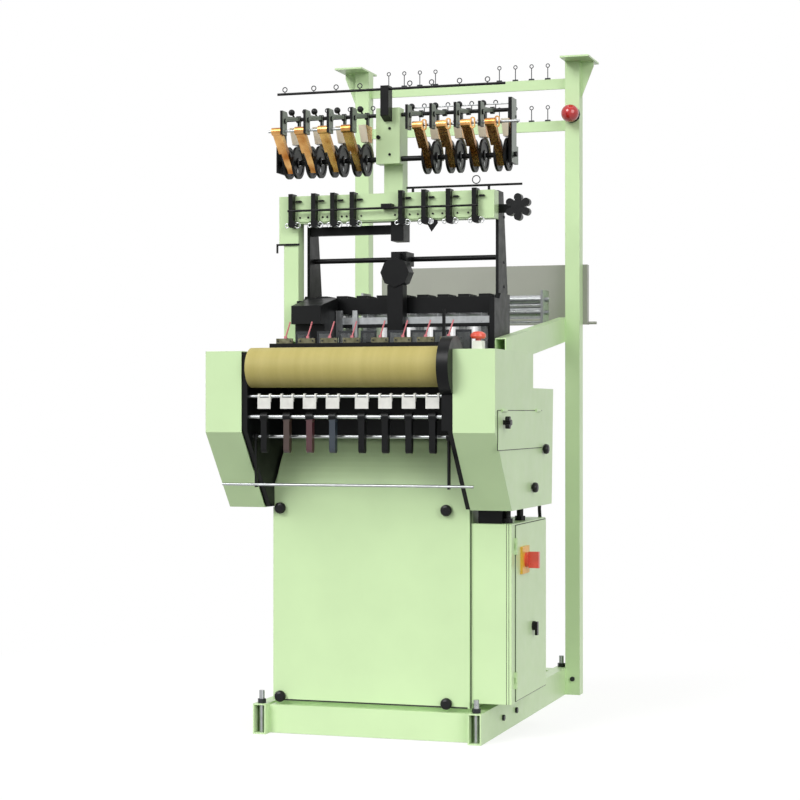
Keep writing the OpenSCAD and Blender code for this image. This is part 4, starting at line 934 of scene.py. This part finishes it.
def paper(name, near_edge, far_edge, glow, spill):
    """Paper with a shadow up to near_edge and plain white past far_edge, in metres from the loom.

    glow is the strength that the camera sees near the loom, spill the one that lights it.
    """
    material, tree, out = blank(name)
    place = add(tree, "ShaderNodeTexCoord").outputs["Object"]
    far = add(tree, "ShaderNodeVectorMath", {}, {0: place}, operation="LENGTH").outputs["Value"]
    fade = between(tree, far, 0, 1, near_edge, far_edge)
    level = between(tree, fade, glow, 1.0, 0, 1)
    shown = add(tree, "ShaderNodeMapRange", {"To Min": spill}, {"Value": seen_rays(tree), "To Max": level})
    matt = add(tree, "ShaderNodeBsdfDiffuse", {"Color": FLOOR_GREY})
    # Past the fade the second shader is left empty, so only the white light stays.
    rest = add(tree, "ShaderNodeMixShader", {}, {0: fade, 1: matt.outputs[0]})
    light = add(tree, "ShaderNodeEmission", {"Color": (1, 1, 1, 1)}, {"Strength": shown.outputs[0]})
    both = add(tree, "ShaderNodeAddShader", {}, {0: rest.outputs[0], 1: light.outputs[0]})
    tree.links.new(both.outputs[0], out.inputs[0])
    return material


floor = floor_piece(FLOOR_REACH)
floor.data.materials.append(paper("pale paper", near_edge=0.9, far_edge=2.2, glow=0.79, spill=0.16))
print("floor is", 2 * FLOOR_REACH, "m wide")

# %% The world
WORLD_LIGHT = 0.42
WORLD_SEEN = 1.0

world = bpy.data.worlds.new("studio")
bpy.context.scene.world = world
world.use_nodes = True
sky_tree = world.node_tree
sky_tree.nodes.clear()
strength = add(sky_tree, "ShaderNodeMapRange", {"To Min": WORLD_LIGHT, "To Max": WORLD_SEEN},
               {"Value": seen_rays(sky_tree)})
sky = add(sky_tree, "ShaderNodeBackground", {"Color": (1, 1, 1, 1)}, {"Strength": strength.outputs[0]})
world_out = sky_tree.nodes.new("ShaderNodeOutputWorld")
sky_tree.links.new(sky.outputs[0], world_out.inputs[0])
print("world lights at", WORLD_LIGHT, "and is seen at", WORLD_SEEN)

# %% [markdown]
# ## Camera
# The camera stands where the photographer stood: six metres in front and almost
# two to the right, a metre above the floor, turned by about 18 degrees. It could
# be moved by eye until the loom fits. These values were solved instead from the
# edges of the rails, posts, panel and cabinet, because those are square to each
# other, and then every piece can be measured against the photograph.

# %% Camera at the photograph's viewing angle
CAMERA_PLACE = (1.8527, -6.0306, 0.9592)
CAMERA_LENS = 88.67
CAMERA_TURN = 0.309
CAMERA_RISE = 0.006

camera_data = bpy.data.cameras.new("camera")
camera_data.lens = CAMERA_LENS
camera = bpy.data.objects.new("camera", camera_data)
camera.location = CAMERA_PLACE
camera.rotation_euler = (math.radians(90) + CAMERA_RISE, 0, CAMERA_TURN)
bpy.context.scene.collection.objects.link(camera)
bpy.context.scene.camera = camera
bpy.context.scene.view_settings.view_transform = "Standard"
camera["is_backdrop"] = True
print("camera looks along", [round(v, 3) for v in (camera.matrix_basis.to_3x3() @ Vector((0, 0, -1)))])

# %% [markdown]
# ## Sizes and the last line
# The dressed loom should be no larger than its CAD frame, because only fine
# pieces were added.

# %% Print the growth in size and finish
new_low, new_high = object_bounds()
growth = [max(a - b, d - c, 0) * 1000 for a, b, c, d in zip(low, new_low, high, new_high)]
print("grown by", [round(v, 2) for v in growth], "mm")
